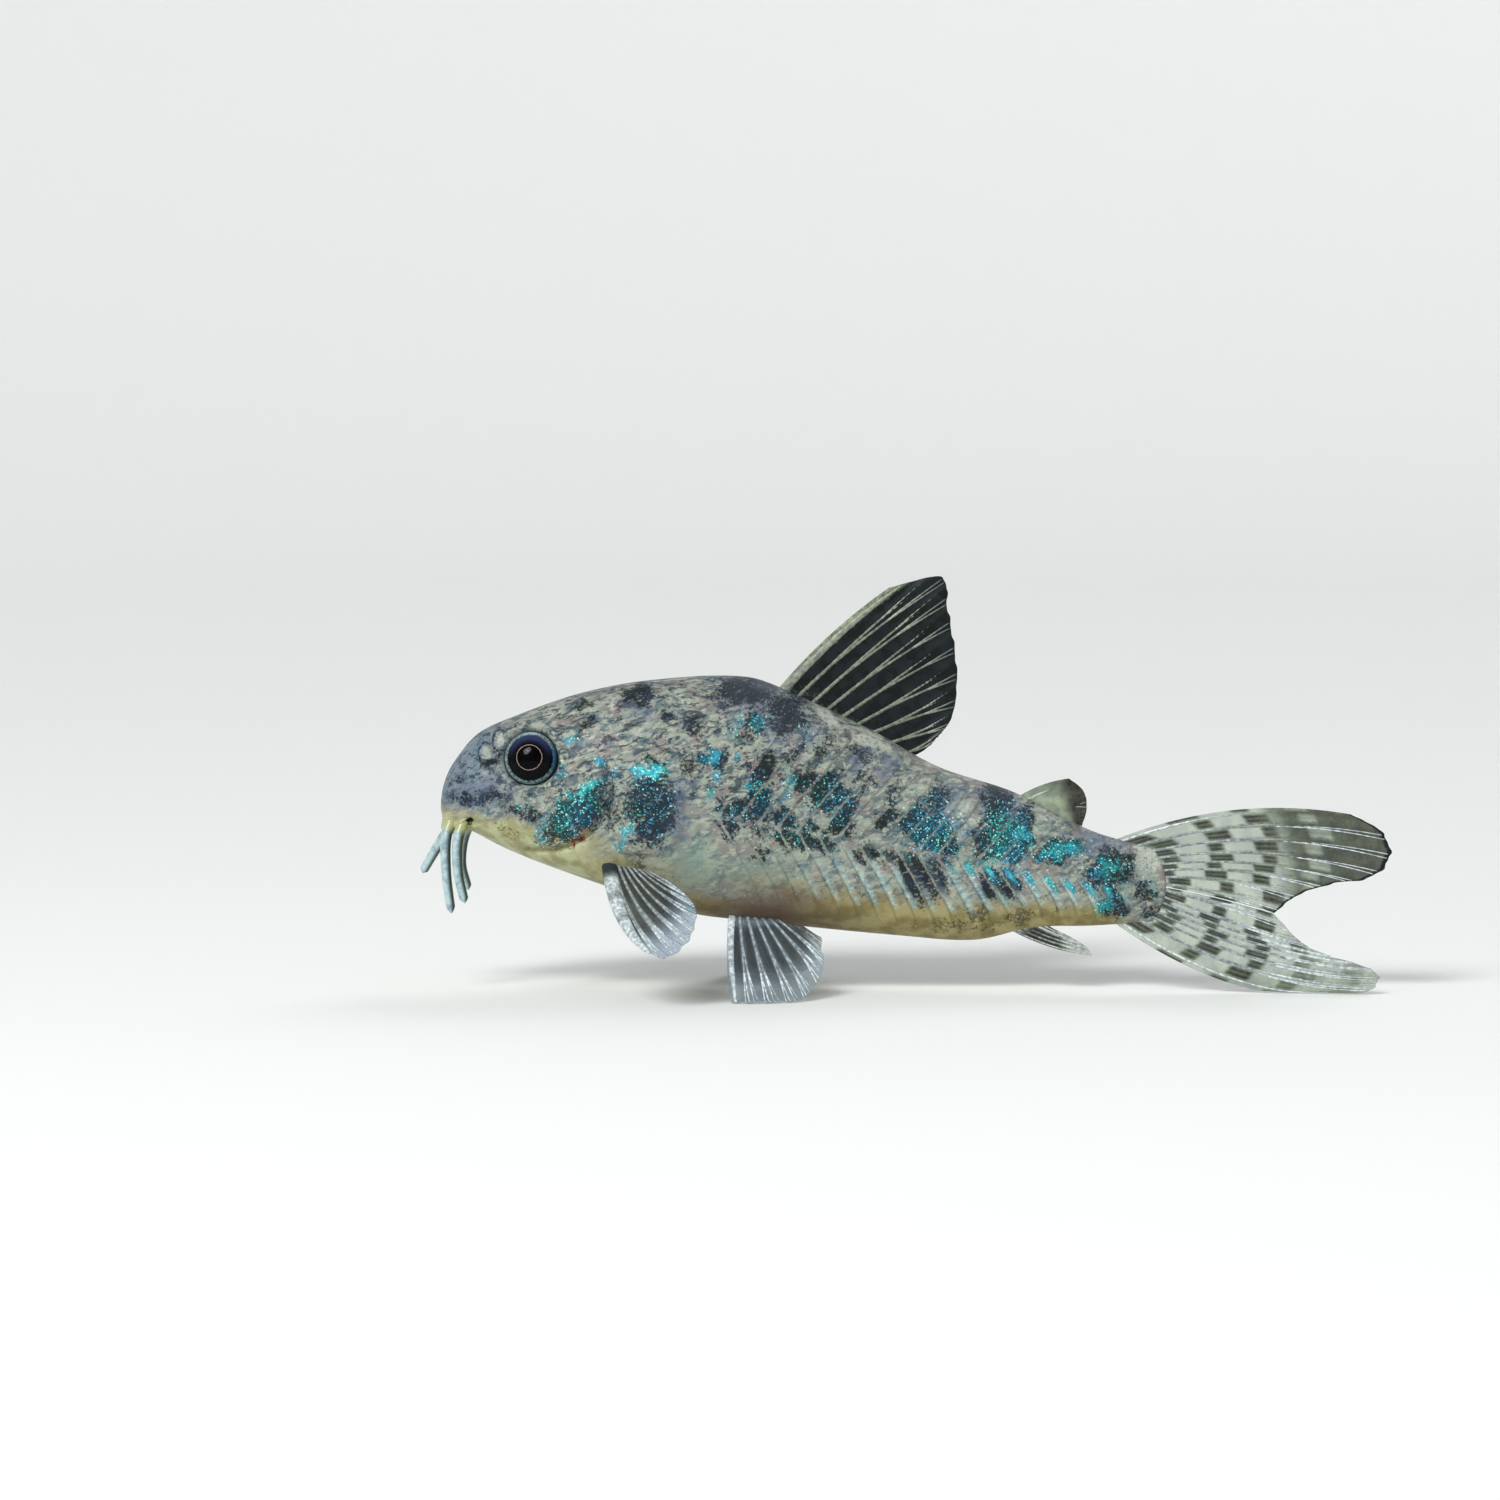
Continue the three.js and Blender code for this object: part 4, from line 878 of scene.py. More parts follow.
# Painted reflection: the iris's upper part is painted blue-violet, a sheen as from the bright sky above.
painted_sky_sheen = add(tree, TIMES, add(tree, RAMP, raised, -0.1, 0.8), add(tree, RAMP, wavy, 0.85, 1.3))
iris = add(tree, MIX, painted_sky_sheen, linear("#04060a"), linear("#2b3354"))
rim_colour = add(tree, MIX, add(tree, RAMP, fleck, 0.4, 0.6), linear("#46595b"), linear("#7c918c"))
rim_colour = add(tree, MIX, add(tree, RAMP, behind, 0.6, 0.95), rim_colour, linear("#1d567c"))
# Painted highlight: the top of the outer ring is painted pale.
rim_colour = add(tree, MIX, add(tree, RAMP, raised, 0.75, 0.95), rim_colour, linear("#8fa3ad"))
outer = add(tree, MIX, add(tree, RAMP, wavy, *SOCKET_EDGE), rim_colour, linear("#1b2a30"))
eye_colour = add(tree, MIX, add(tree, RAMP, wavy, *IRIS_EDGE), iris, outer)
gold_ring = add(tree, RAMP, wavy, *GOLD_STARTS)
gold_ring = add(tree, TIMES, gold_ring, add(tree, RAMP, wavy, *GOLD_ENDS))
eye_colour = add(tree, MIX, add(tree, TIMES, gold_ring, 0.75), eye_colour, linear("#b39a8c"))
eye_colour = add(tree, MIX, add(tree, RAMP, wavy, *PUPIL_EDGE), linear("#000001"), eye_colour)
eye_shader = add(
    tree,
    SHADER,
    inputs={
        "Base Color": eye_colour, "Roughness": 0.3, "IOR": 1.34, "Specular IOR Level": 0.02,
        "Coat Weight": 1.0, "Coat Roughness": 0.02, "Coat IOR": 1.16,
    },
)
tree.links.new(eye_shader, output)

# %% The eyes
EYE_DEPTH = 1.05
EYE_SINK = 0.5
EYE_FORWARD = 0.12
EYE_UPWARD = 0.16
CORNEA_RISE = 0.12
EYE_RINGS = 64
EYE_SIDES = 96


def eye_shell(side):
    """A flattened ball: rings at polar angles from the front to the back, each as wide as the sine
    and as far forward as the cosine. Also each point's distance from the axis, how high it is, and
    how far towards the tail."""
    axis = unit(np.array([-EYE_FORWARD, -side, EYE_UPWARD]))
    up = unit(np.array([0, 0, 1]) - axis * axis[2])
    across = np.cross(axis, up)
    centre = skin_at(*EYE_AT, side) - axis * EYE_SINK
    polar = np.linspace(0, np.pi, EYE_RINGS + 2)[1:-1]
    around = np.linspace(0, 2 * np.pi, EYE_SIDES, endpoint=False)
    polar, around = np.meshgrid(polar, around, indexing="ij")
    wide = EYE_RADIUS * np.sin(polar)
    cornea = CORNEA_RISE * bump(wide, 0, 0.95) * (polar < np.pi / 2)
    deep = EYE_DEPTH * np.cos(polar) + cornea
    flat = np.cos(around)[..., None] * up + np.sin(around)[..., None] * across
    rings = centre + deep[..., None] * axis + wide[..., None] * flat
    shell = tube_shell(rings, centre + axis * (EYE_DEPTH + CORNEA_RISE), centre - axis * EYE_DEPTH)
    height = wide * np.cos(around) / EYE_RADIUS
    rear = -side * wide * np.sin(around) / EYE_RADIUS
    return shell, *(np.append(values.ravel(), [0, 0]) for values in (wide, height, rear))


for side, word in ((1, "left"), (-1, "right")):
    shell, width, height, rear = eye_shell(side)
    make_piece(
        "eyeball_" + word, shell, eye_finish, "eye", ("eye_" + word,),
        out=width, raised=height, behind=rear,
    )

# %% [markdown]
# The barbels are the fish's feelers: two at each corner of the mouth, soft and tapered. Their skin
# lets a little light in. It is pale, and yellow where it leaves the lip; the dark green on each one's
# rear is painted shade. Each is a circle carried along a curve. Its two cross directions come from the
# curve's own direction and the fish's length, which is safe because none of them runs along that.

# %% The barbels' finish
BARBEL_MOTTLES_PER_MM = 2.4

barbel_finish, tree, output, per_mm = new_material("barbel_skin")
mottle = add(tree, NOISE, per_mm, BARBEL_MOTTLES_PER_MM, 3)
barbel_colour = add(tree, MIX, add(tree, RAMP, mottle, 0.4, 0.7), linear("#a9bfc2"), linear("#7d929c"))
# Painted shade: the rear of each barbel is darkened to green in the colour.
shaded = add(tree, READ, attribute_name="shade")
barbel_colour = add(tree, MIX, shaded, barbel_colour, linear("#2c4038"))
at_root = add(tree, READ, attribute_name="root")
barbel_colour = add(tree, MIX, at_root, barbel_colour, linear("#a3a470"))
barbel_shader = add(
    tree,
    SHADER,
    inputs={
        "Base Color": barbel_colour, "Roughness": 0.35, "IOR": 1.38, "Coat Weight": 0.3,
        "Coat Roughness": 0.15, "Subsurface Weight": 0.15, "Subsurface Radius": (1.0, 0.8, 0.6),
        "Subsurface Scale": 0.2 * MM,
    },
)
tree.links.new(barbel_shader, output)

# %% The barbels
BARBEL_RADIUS = (0.38, 0.28)
BARBEL_SIDES = 20
BARBEL_RINGS = 70
BARBEL_TIP = 0.05
BARBELS = {
    "upper_left": (1, [(0.75, 1.2, 10.9), (0.42, 1.5, 9.8), (0.42, 1.65, 7.6), (0.72, 1.6, 5.1)]),
    "lower_left": (1, [(1.5, 1.5, 10.8), (1.18, 1.85, 9.7), (1.2, 2.1, 7.6), (1.6, 2.3, 5.8)]),
    "upper_right": (-1, [(1.0, 1.2, 10.7), (0.2, 1.6, 9.7), (-0.5, 1.9, 8.6), (-1.25, 2.2, 7.3)]),
    "lower_right": (-1, [(1.9, 1.5, 10.7), (1.4, 1.9, 9.6), (1.2, 2.3, 7.8), (1.6, 2.5, 6.2)]),
}


def swept_shell(path, radius, side_ways, sides, width=1.0):
    """A tube along a path of points: at each one a ring in the plane of two cross directions, the
    first square to the path and to side_ways, the second square to both. There is one radius for
    each point, and the ring is wider than that, by width, along its first direction."""
    along = unit(np.gradient(path, axis=0))
    first = unit(np.cross(along, side_ways))
    second = np.cross(along, first)
    around = np.linspace(0, 2 * np.pi, sides, endpoint=False)[:, None]
    flat = width * np.cos(around) * first[:, None] + np.sin(around) * second[:, None]
    rings = path[:, None] + np.asarray(radius)[:, None, None] * flat
    ends = path[0] - along[0] * radius[0] * 0.6, path[-1] + along[-1] * radius[-1]
    return tube_shell(rings, *ends)


for name, (side, line) in BARBELS.items():
    places = np.array(line) * [1, -side, 1]
    t = np.linspace(0, 1, BARBEL_RINGS)
    radius = BARBEL_RADIUS[0] + (BARBEL_RADIUS[1] - BARBEL_RADIUS[0]) * t
    radius = radius * np.sqrt(np.clip((1.012 - t) / BARBEL_TIP, 0, 1))
    shell = swept_shell(curve_through(places)(t), radius, [1.0, 0, 0], BARBEL_SIDES)
    # Painted shade: how far each ring's point lies on the barbel's rear, the side away from the light.
    rear = smoothstep(-0.1, 0.7, -np.sin(np.linspace(0, 2 * np.pi, BARBEL_SIDES, endpoint=False)))
    shade = np.append(np.tile(rear, len(t)), [0, 0])
    root = np.append(np.repeat(1 - smoothstep(0.12, 0.3, t), BARBEL_SIDES), [1, 0])
    make_piece(
        "feeler_" + name, shell, barbel_finish, "barbel", ("barbel_" + name,),
        shade=shade, root=root,
    )

# %% [markdown]
# A fin is a thin sheet of clear skin on a fan of bony rays. The sheet is one function of two
# parameters: u runs from the first ray to the last, and t from the root to the edge, along a curve
# that is bent half way out. The rays are tubes on that sheet, and all but the first fork twice.

# %% The fins' outlines, each a root and an edge of (x, distance from the middle, z)
ROOT_DEPTH = 0.7
FLOOR_CLEARANCE = 0.12
FLOOR_SOFTNESS = 0.01


def along_body(line, places, depth):
    """Root points a little under the skin of the back or the belly, as deep as depth."""
    return [(x, 0, float(line(x)) - depth) for x in places]


FINS = {
    "dorsal_fin": {
        "rays": 9,
        "root": along_body(back_at, [21.1, 23, 25, 27, 29.4], ROOT_DEPTH),
        "edge": [(28.5, 0, 25.6), (31.9, 0, 26.2), (32.2, 0, 24.3), (32.6, 0, 22), (32.8, 0, 19.6),
                 (32.4, 0, 17.2), (31.2, 0, 15.7)],
        "bulge": [(-0.5, 0, 0.5), (0.3, 0, -0.2)],
    },
    "adipose_fin": {
        "rays": 3,
        "root": along_body(back_at, [36.2, 37.6, 39, 40.3], ROOT_DEPTH),
        "edge": [(39.9, 0, 13.5), (40.8, 0, 12.7), (41, 0, 11.6), (40.7, 0, 10.5)],
        "bulge": [(-0.2, 0, 0.5), (0, 0, 0)],
    },
    "anal_fin": {
        "rays": 6,
        "root": along_body(belly_at, [35.5, 36.2, 37, 37.8], -ROOT_DEPTH),
        "edge": [(41.4, 0, 2.2), (41.1, 0, 2.7), (40.4, 0, 3.2), (39.6, 0, 3.6)],
        "bulge": [(0, 0, -0.7), (0, 0, -0.2)],
    },
    "caudal_fin_upper": {
        "rays": 8,
        "root": [(42, 0, 9.3), (44.2, 0, 8.9), (45, 0, 8.2), (45.2, 0, 7.5), (45.3, 0, 6.78)],
        "edge": [(57.6, 0, 11.4), (59.5, 0, 10.3), (60, 0, 8.8), (58.9, 0, 7.5), (56.4, 0, 7),
                 (54.2, 0, 6.2), (52.8, 0, 5.08)],
        "bulge": [(0, 0, 2.4), (0, 0, 0.3)],
    },
    "caudal_fin_lower": {
        "rays": 8,
        "root": [(42, 0, 4.9), (44.2, 0, 5.1), (45, 0, 5.5), (45.2, 0, 6.1), (45.3, 0, 6.72)],
        "edge": [(57.4, 0, -0.25), (59.1, 0, 0.5), (59.3, 0, 1.3), (58.2, 0, 1.9), (56.4, 0, 2.4),
                 (54.6, 0, 3.2), (52.8, 0, 5.02)],
        "bulge": [(0, 0, -3.2), (0, 0, 0.3)],
    },
    "pectoral_fin": {
        "rays": 9,
        "root": [(10.7, 4.1, 8.6), (11.4, 4.3, 8.5), (12.2, 4.4, 8.3), (12.9, 4.4, 8.1)],
        "edge": [(13.2, 12, 3.6), (14.5, 13, 3.3), (15.7, 12.4, 4.1), (16.2, 11.2, 5), (16.3, 9.6, 6),
                 (15.6, 8, 6.8), (14.6, 6.8, 7.4)],
        "bulge": [(-0.9, 1, -1.3), (0.2, 0, 0)],
    },
    "pelvic_fin": {
        "rays": 7,
        "root": [(18.4, 2.2, 5.1), (19.4, 2.2, 5), (20.3, 2.1, 5), (21.1, 2, 4.9)],
        "edge": [(18.5, 8.8, -0.3), (19.6, 9.1, -0.4), (21, 8.9, -0.35), (22.4, 8.3, -0.1),
                 (23.4, 7.4, 0.5), (24.2, 6, 1.7), (24.3, 5, 2.7)],
        "bulge": [(-0.5, 0.5, 0.5), (0.3, 0, 0)],
    },
}


def fin_sheet(fin, side):
    """The sheet as a function of u and t: a curve of second order from the root to the edge, whose
    middle point is half way between them plus the bulge. What would sink below the floor lies on
    it: the height is the mean of the drop and its own length, softened."""

    def placed(line):
        points = np.array(line, float) * [1, -side, 1]
        points[:, 1] += swing(points[:, 0])
        return points

    root, edge = curve_through(placed(fin["root"])), curve_through(placed(fin["edge"]))
    first, last = (np.array(b, float) * [1, -side, 1] for b in fin["bulge"])

    def sheet(u, t):
        u, t = np.broadcast_arrays(np.asarray(u, float), np.asarray(t, float))
        start, end = root(u), edge(u)
        share, t = u[..., None], t[..., None]
        middle = (start + end) / 2 + first * (1 - share) + last * share
        points = start * (1 - t) ** 2 + middle * 2 * t * (1 - t) + end * t * t
        clear = points[..., 2] - FLOOR_CLEARANCE
        points[..., 2] = FLOOR_CLEARANCE + (clear + np.sqrt(clear**2 + FLOOR_SOFTNESS)) / 2
        return points

    return sheet


def sheet_normal(sheet, u, t):
    """The sheet's own square direction, from a short step each way."""
    step = 0.004
    across = sheet(np.minimum(u + step, 1), t) - sheet(np.maximum(u - step, 0), t)
    along = sheet(u, np.minimum(t + step, 1)) - sheet(u, np.maximum(t - step, 0))
    return unit(np.cross(across, along))


# %% [markdown]
# A fin's skin is almost clear. It shows as a grey-green film, darker where it carries dark cells, and
# its share of light let through is the opacity, called milk here. The rays are bone under skin: pale,
# a little see-through, and bluish white on the paired fins.

# %% The fins' finishes
DUST_PER_MM = 6
FILM_CLOUDS_PER_MM = 1.3
WEAR_PER_MM = 4

membrane_finish, tree, output, per_mm = new_material("fin_membrane")
on = {name: add(tree, READ, attribute_name=name) for name in ("ink", "milk", "blue", "dusk")}
dust = add(tree, NOISE, per_mm, DUST_PER_MM, 4, 0.7)
soft = add(tree, NOISE, per_mm, FILM_CLOUDS_PER_MM, 2)
uneven = add(tree, TIMES, add(tree, MINUS, dust, 0.5), 1.2)
drawn = add(tree, RAMP, add(tree, PLUS, on["ink"], uneven), 0.25, 0.75)
film = add(tree, MIX, add(tree, RAMP, soft, 0.35, 0.65), linear("#6f7c66"), linear("#98a583"))
film = add(tree, MIX, on["blue"], film, linear("#7f95ac"))
dusky = add(tree, MIX, add(tree, RAMP, dust, 0.4, 0.6), linear("#101211"), linear("#38342f"))
film = add(tree, MIX, on["dusk"], film, dusky)
slate = add(tree, MIX, add(tree, RAMP, soft, 0.4, 0.6), linear("#0a1312"), linear("#151d20"))
membrane_colour = add(tree, MIX, drawn, film, slate)
opacity = add(tree, LARGER, add(tree, TIMES, drawn, 0.94), on["milk"])
membrane_shader = add(
    tree,
    SHADER,
    inputs={
        "Base Color": membrane_colour, "Roughness": 0.45, "Alpha": opacity, "IOR": 1.34,
        "Specular IOR Level": 0.2, "Coat Weight": 0.08, "Coat Roughness": 0.15,
    },
)
tree.links.new(membrane_shader, output)

ray_finish, tree, output, per_mm = new_material("fin_ray_bone")
on = {name: add(tree, READ, attribute_name=name) for name in ("ink", "blue")}
worn = add(tree, RAMP, add(tree, NOISE, per_mm, WEAR_PER_MM, 3), 0.35, 0.65)
bone = add(tree, MIX, worn, linear("#7c8474"), linear("#a9ad93"))
bright_bone = add(tree, MIX, worn, linear("#9aa9b4"), linear("#e4edf1"))
bone = add(tree, MIX, on["blue"], bone, bright_bone)
ray_colour = add(tree, MIX, on["ink"], bone, linear("#232b2f"))
ray_shader = add(
    tree,
    SHADER,
    inputs={
        "Base Color": ray_colour, "Roughness": 0.4, "IOR": 1.4, "Specular IOR Level": 0.35,
        "Coat Weight": 0.15, "Coat Roughness": 0.12,
    },
)
tree.links.new(ray_shader, output)

# %% [markdown]
# Each fin has its own markings. The dorsal fin is slate-black between pale rays. The tail fin has
# short dark bars in arcs round its root, and a dusky tip to its upper lobe with a few pale dashes. The
# small fatty fin has a dark rim, and the anal fin a few dark streaks. Ink is the slate-black, dusk the
# brown-grey, blue the milky blue of the paired fins, and milk is how little light is let through.

# %% The fins' markings
MEMBRANE_HALF = 0.05
RAY_MARGIN = 0.35
TAIL_ROOT = (44.4, 6.7)
BAR_PITCH = 2.9
FIRST_BAR = 2.4
BARS_START = (0.9, 1.6)
BARS_FADE = (9, 13)
TIP_DARKENS = (8.2, 10.6)
DASHES_FADE = (12.2, 13.6)


def lanes(fin):
    """How many ray pitches the fin is wide, with the margin on both sides."""
    return fin["rays"] - 1 + 2 * RAY_MARGIN


def tail_marks(lane, t, x, z, above):
    """The tail fin's dusk. The bars are a cosine of the distance from the fin's root, a little late
    or early in each gap between rays, and split by fine streaks. Past 9 mm the upper lobe turns
    dusky, and its bars turn to pale dashes."""
    away = np.hypot(x - TAIL_ROOT[0], z - TAIL_ROOT[1])
    gap = np.floor(lane)
    late = 0.45 * np.sin(0.9 * gap + 0.6 * above) + 0.25 * np.sin(2.4 * gap)
    wave = np.cos(2 * np.pi * (away - FIRST_BAR - late) / BAR_PITCH)
    wave = wave + 0.3 * np.sin(3.1 * gap + 0.9 * away)
    in_gap = 1 - smoothstep(0.26, 0.5, np.abs(lane % 1 - 0.5))
    streaks = 0.86 + 0.14 * np.cos(6 * np.pi * lane)
    bars = smoothstep(0.05, 0.6, wave) * in_gap * streaks * smoothstep(*BARS_START, away)
    if not above:
        return 0.95 * bars * (1 - 0.6 * smoothstep(*BARS_FADE, away))
    far = smoothstep(*TIP_DARKENS, away)
    dashes = 0.5 * bars * (1 - smoothstep(*DASHES_FADE, away))
    return 0.95 * bars * (1 - far) + far * (0.78 - dashes)


def fin_marks(name, fin, u, t, points):
    """Ink, dusk, blue and milk for each point of a fin's membrane, from 0 to 1."""
    lane = u * lanes(fin) - RAY_MARGIN
    gap = 1 - smoothstep(0.2, 0.5, np.abs(lane % 1 - 0.5))
    none = 0 * u
    ink, dusk, blue, milk = none, none, none + 0.1, none + 0.3
    if name == "dorsal_fin":
        front = 1 - smoothstep(0.0, 0.4, lane)
        ink = 1 - 0.6 * front - 0.3 * (1 - smoothstep(0.06, 0.2, t))
        blue, milk = none, none + 0.96
    elif name == "adipose_fin":
        rim = smoothstep(0.35, 0.75, t + 0.5 * (u - 0.5))
        rim = np.maximum(rim, 0.7 * (1 - smoothstep(0.05, 0.25, u)) * smoothstep(0.3, 0.8, t))
        dusk, milk = 0.95 * rim, 0.72 + 0.2 * rim
    elif name == "anal_fin":
        dusk = gap * (lane < 3.2) * smoothstep(0.1, 0.3, t) * (1 - smoothstep(0.6, 0.85, t))
        milk = 0.22 + 0.65 * dusk
    elif name.startswith("caudal"):
        above = name.endswith("upper")
        dusk = tail_marks(lane, t, points[..., 0], points[..., 2], above)
        ink = smoothstep(0.97, 0.99, t) * (0.9 if above else 0.3)
        milk = 0.38 + 0.62 * dusk
    elif name == "pectoral_fin":
        dusk = 0.9 * gap * (1 - smoothstep(0.6, 0.95, t)) * (lane > 0.2)
        blue = 0.3 + 0.6 * smoothstep(0.35, 0.8, t)
        milk = 0.24 + 0.2 * smoothstep(0.5, 0.9, t) + 0.6 * dusk
    else:
        dusk = 0.85 * gap * smoothstep(0.05, 0.2, t) * (1 - smoothstep(0.55, 0.95, t)) * (lane > 0.2)
        blue, milk = none + 0.7, 0.28 + 0.55 * dusk
    return {"ink": ink, "dusk": dusk, "blue": blue, "milk": milk}


# %% Membranes and rays on a sheet
FIN_COLUMNS = 140
FIN_ROWS = 100
RAY_SIDES = 8
RAY_STEPS = np.linspace(0.02, 0.985, 72)
RAY_THICKNESS = {
    "dorsal_fin": 0.15, "adipose_fin": 0.05, "anal_fin": 0.07, "caudal_fin_upper": 0.085,
    "caudal_fin_lower": 0.085, "pectoral_fin": 0.11, "pelvic_fin": 0.115,
}
SPINE_THICKNESS = {"dorsal_fin": 0.34, "adipose_fin": 0.16, "pectoral_fin": 0.6, "pelvic_fin": 0.28}
SPINE_WIDTH = 1.7
RAY_JOINTS = 26
BRANCHES = (-0.36, -0.13, 0.13, 0.36)
PAIR_AT = 0.245
PARTING = 0.85
RAY_FORKS = {"dorsal_fin": (0.34, 0.7), "caudal_fin_upper": (0.28, 0.6), "caudal_fin_lower": (0.28, 0.6)}
RAY_BLUE = {
    "dorsal_fin": 0.1, "adipose_fin": 0.2, "anal_fin": 0.5, "caudal_fin_upper": 0.85,
    "caudal_fin_lower": 0.8, "pectoral_fin": 0.7, "pelvic_fin": 0.95,
}


def membrane(fin, sheet):
    """A slab round the sheet, a tenth of a millimetre thick, whose edge dips between the rays and
    is a little ragged. Also the grid's u and t and its middle points, for the markings."""
    t, u = np.meshgrid(np.linspace(0, 1, FIN_ROWS), np.linspace(0, 1, FIN_COLUMNS), indexing="ij")
    lane = u * lanes(fin) - RAY_MARGIN
    dip = 0.008 * np.sin(np.pi * (lane % 1)) ** 2 + 0.004 * np.sin(9.1 * lane) * np.sin(3.7 * lane)
    middle = sheet(u, t * (1 - dip * t))
    normal = sheet_normal(sheet, u, t * (1 - dip * t))
    half = MEMBRANE_HALF * (1 - 0.6 * t)[..., None]
    ripple = 0.05 * np.sin(2 * np.pi * lane + 3 * t)[..., None] * t[..., None]
    middle = middle + normal * ripple
    shell = slab_shell(middle + normal * half, middle - normal * half)
    return shell, u, t, middle


def ray_ink(name, whole, t):
    """How dark a ray is along its length. The dorsal fin's rays fade into its dark rear edge, and
    the pectoral spine has a dark root and a few grey patches."""
    if name == "dorsal_fin":
        return 0.4 + 0 * t if whole else 0.8 * smoothstep(0.5, 1.0, t)
    if name == "pectoral_fin" and whole:
        return np.maximum(1 - smoothstep(0.1, 0.2, t), 0.55 * bump(t % 0.21, 0.1, 0.035) * (t < 0.7))
    return 0 * t


def ray_shells(name, fin, sheet):
    """The rays as tubes, and their ink. Each has four branches that lie together in its stem, part
    in two at the first fork and again at the second, and leave the stem's u as a power of the way
    past the fork. A cosine swells them at each joint. The first ray is a flat, whole spine."""
    shells = []
    inks = []
    t = RAY_STEPS
    forks = RAY_FORKS.get(name, (0.42, 0.7))
    for index in range(fin["rays"]):
        place = (index + RAY_MARGIN) / lanes(fin)
        whole = index == 0
        late = 0.05 * math.sin(5.1 * index)
        first, second = (np.clip((t - f - late) / (1 - f), 0, 1) ** PARTING for f in forks)
        for branch in (0.0,) if whole else BRANCHES:
            lead = PAIR_AT * np.sign(branch)
            u = np.clip(place + (lead * first + (branch - lead) * second) / lanes(fin), 0, 1)
            swollen = 1 + 0.12 * np.cos(2 * np.pi * t * RAY_JOINTS)
            radius = RAY_THICKNESS[name] * (1 - 0.72 * t) * swollen
            width = 1.0
            if whole and name in SPINE_THICKNESS:
                radius = 0.5 * SPINE_THICKNESS[name] * (1 - 0.75 * t**2)
                width = SPINE_WIDTH
            normal = sheet_normal(sheet, u, t)
            shells.append(swept_shell(sheet(u, t), radius, normal, RAY_SIDES, width))
            along = ray_ink(name, whole, t)
            inks.append(np.append(np.repeat(along, RAY_SIDES), [along[0], along[-1]]))
    return joined(shells), np.concatenate(inks)


# %% The fins
def both_faces(values):
    """A grid's values for the slab's points, whose rings run along one face and back on the other."""
    return np.concatenate([values, values[:, ::-1]], axis=1)


def on_floor(shell):
    """The shell with nothing below the floor: what touches it is pressed flat, as soft tips are."""
    points, faces = shell
    points[:, 2] = np.maximum(points[:, 2], 0)
    return points, faces


for name, fin in FINS.items():
    paired = name in ("pectoral_fin", "pelvic_fin")
    for side, word in ((1, "_left"), (-1, "_right")) if paired else ((1, ""),):
        sheet = fin_sheet(fin, side)
        shell, u, t, middle = membrane(fin, sheet)
        marks = fin_marks(name, fin, u, t, middle)
        marks = {key: both_faces(values) for key, values in marks.items()}
        make_piece(
            name + "_web" + word, on_floor(shell), membrane_finish, "fin", (name + word,), **marks,
        )
        shell, ink = ray_shells(name, fin, sheet)
        blue = np.full(len(ink), RAY_BLUE[name])
        make_piece(name + "_rays" + word, on_floor(shell), ray_finish, "fin", ink=ink, blue=blue)

# %% [markdown]
# The stage: a pale floor that curves up into a wall all round, like a photographer's paper sweep, so
# that no horizon shows from any side. The main lights are far off and broad, so that the paper is as
# bright behind the fish as under it, and one near lamp gives the wet skin and the eye their lights.

# %% The floor
floor_finish, tree, output, per_mm = new_material("pale_paper")
floor_shader = add(tree, SHADER, inputs={"Base Color": linear("#eceeec"), "Roughness": 0.9})
tree.links.new(floor_shader, output)
FLAT_RADIUS = 600.0
BEND_RADIUS = 500.0
INNER_RADIUS = 300.0
FLOOR_SIDES = 128
BEND_RINGS = 32

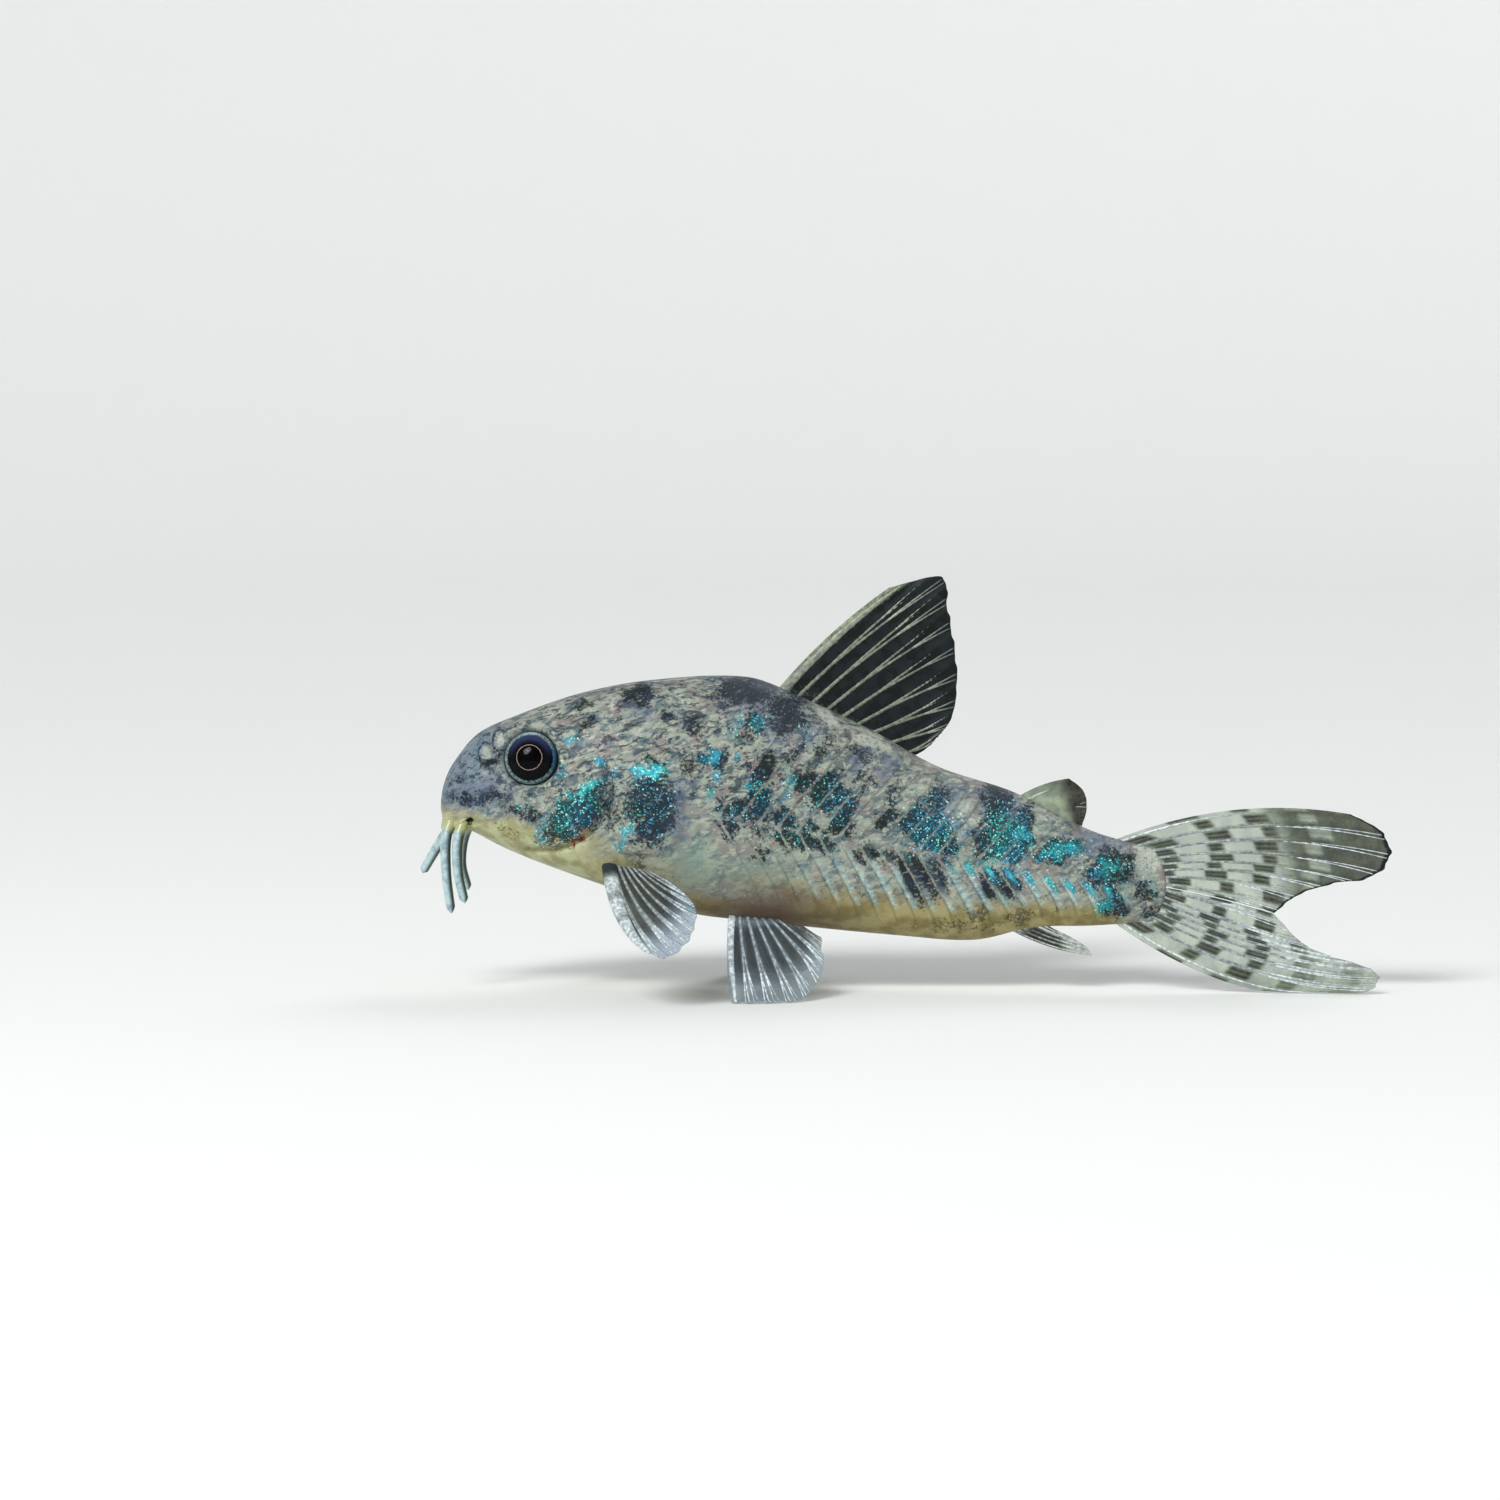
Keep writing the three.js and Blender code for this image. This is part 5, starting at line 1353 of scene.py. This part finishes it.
bend = np.linspace(0, np.pi / 2, BEND_RINGS)
floor_r = np.concatenate([[INNER_RADIUS], FLAT_RADIUS + BEND_RADIUS * np.sin(bend)])[:, None]
floor_z = np.concatenate([[0], BEND_RADIUS * (1 - np.cos(bend))])[:, None]
around = np.linspace(0, 2 * np.pi, FLOOR_SIDES, endpoint=False)
floor_points = np.stack([floor_r * np.cos(around), floor_r * np.sin(around), floor_z + 0 * around], -1)
floor_faces = ring_quads(len(floor_r), FLOOR_SIDES)[:, ::-1].tolist()
floor_faces.append(list(range(FLOOR_SIDES)))
floor_mesh = bpy.data.meshes.new("floor")
floor_mesh.from_pydata((floor_points.reshape(-1, 3) * MM).tolist(), [], floor_faces)
floor_mesh.shade_smooth()
floor_mesh.materials.append(floor_finish)
floor = bpy.data.objects.new("floor", floor_mesh)
bpy.context.scene.collection.objects.link(floor)

# %% The lights
BROAD_LIGHTS = {"front": ((-0.45, -0.75, 0.6), 1.75, 20), "back": ((0.5, 0.7, 0.8), 0.55, 30)}
LAMP_AT = (-120, -260, 260)
LAMP_SIZE = 110
LAMP_POWER = 0.5
SKY_STRENGTH = 0.42


def turn_to(away):
    """The rotation that makes a light's -Z point back along away, by its height and its heading."""
    away = np.array(away, float)
    return (math.acos(away[2] / np.linalg.norm(away)), 0, math.atan2(away[0], -away[1]))


for name, (away, strength, spread) in BROAD_LIGHTS.items():
    light = bpy.data.lights.new(name, "SUN")
    light.energy = strength
    light.angle = math.radians(spread)
    holder = bpy.data.objects.new(name, light)
    holder.rotation_euler = turn_to(away)
    bpy.context.scene.collection.objects.link(holder)
lamp = bpy.data.lights.new("lamp", "AREA")
lamp.shape = "DISK"
lamp.size = LAMP_SIZE * MM
lamp.energy = LAMP_POWER
holder = bpy.data.objects.new("lamp", lamp)
holder.location = np.array(LAMP_AT) * MM
holder.rotation_euler = turn_to(LAMP_AT)
bpy.context.scene.collection.objects.link(holder)

world = bpy.data.worlds.new("studio")
world.use_nodes = True
world.node_tree.nodes["Background"].inputs["Color"].default_value = linear("#f4f6f8")
world.node_tree.nodes["Background"].inputs["Strength"].default_value = SKY_STRENGTH
bpy.context.scene.world = world
bpy.context.scene.view_settings.view_transform = "Standard"
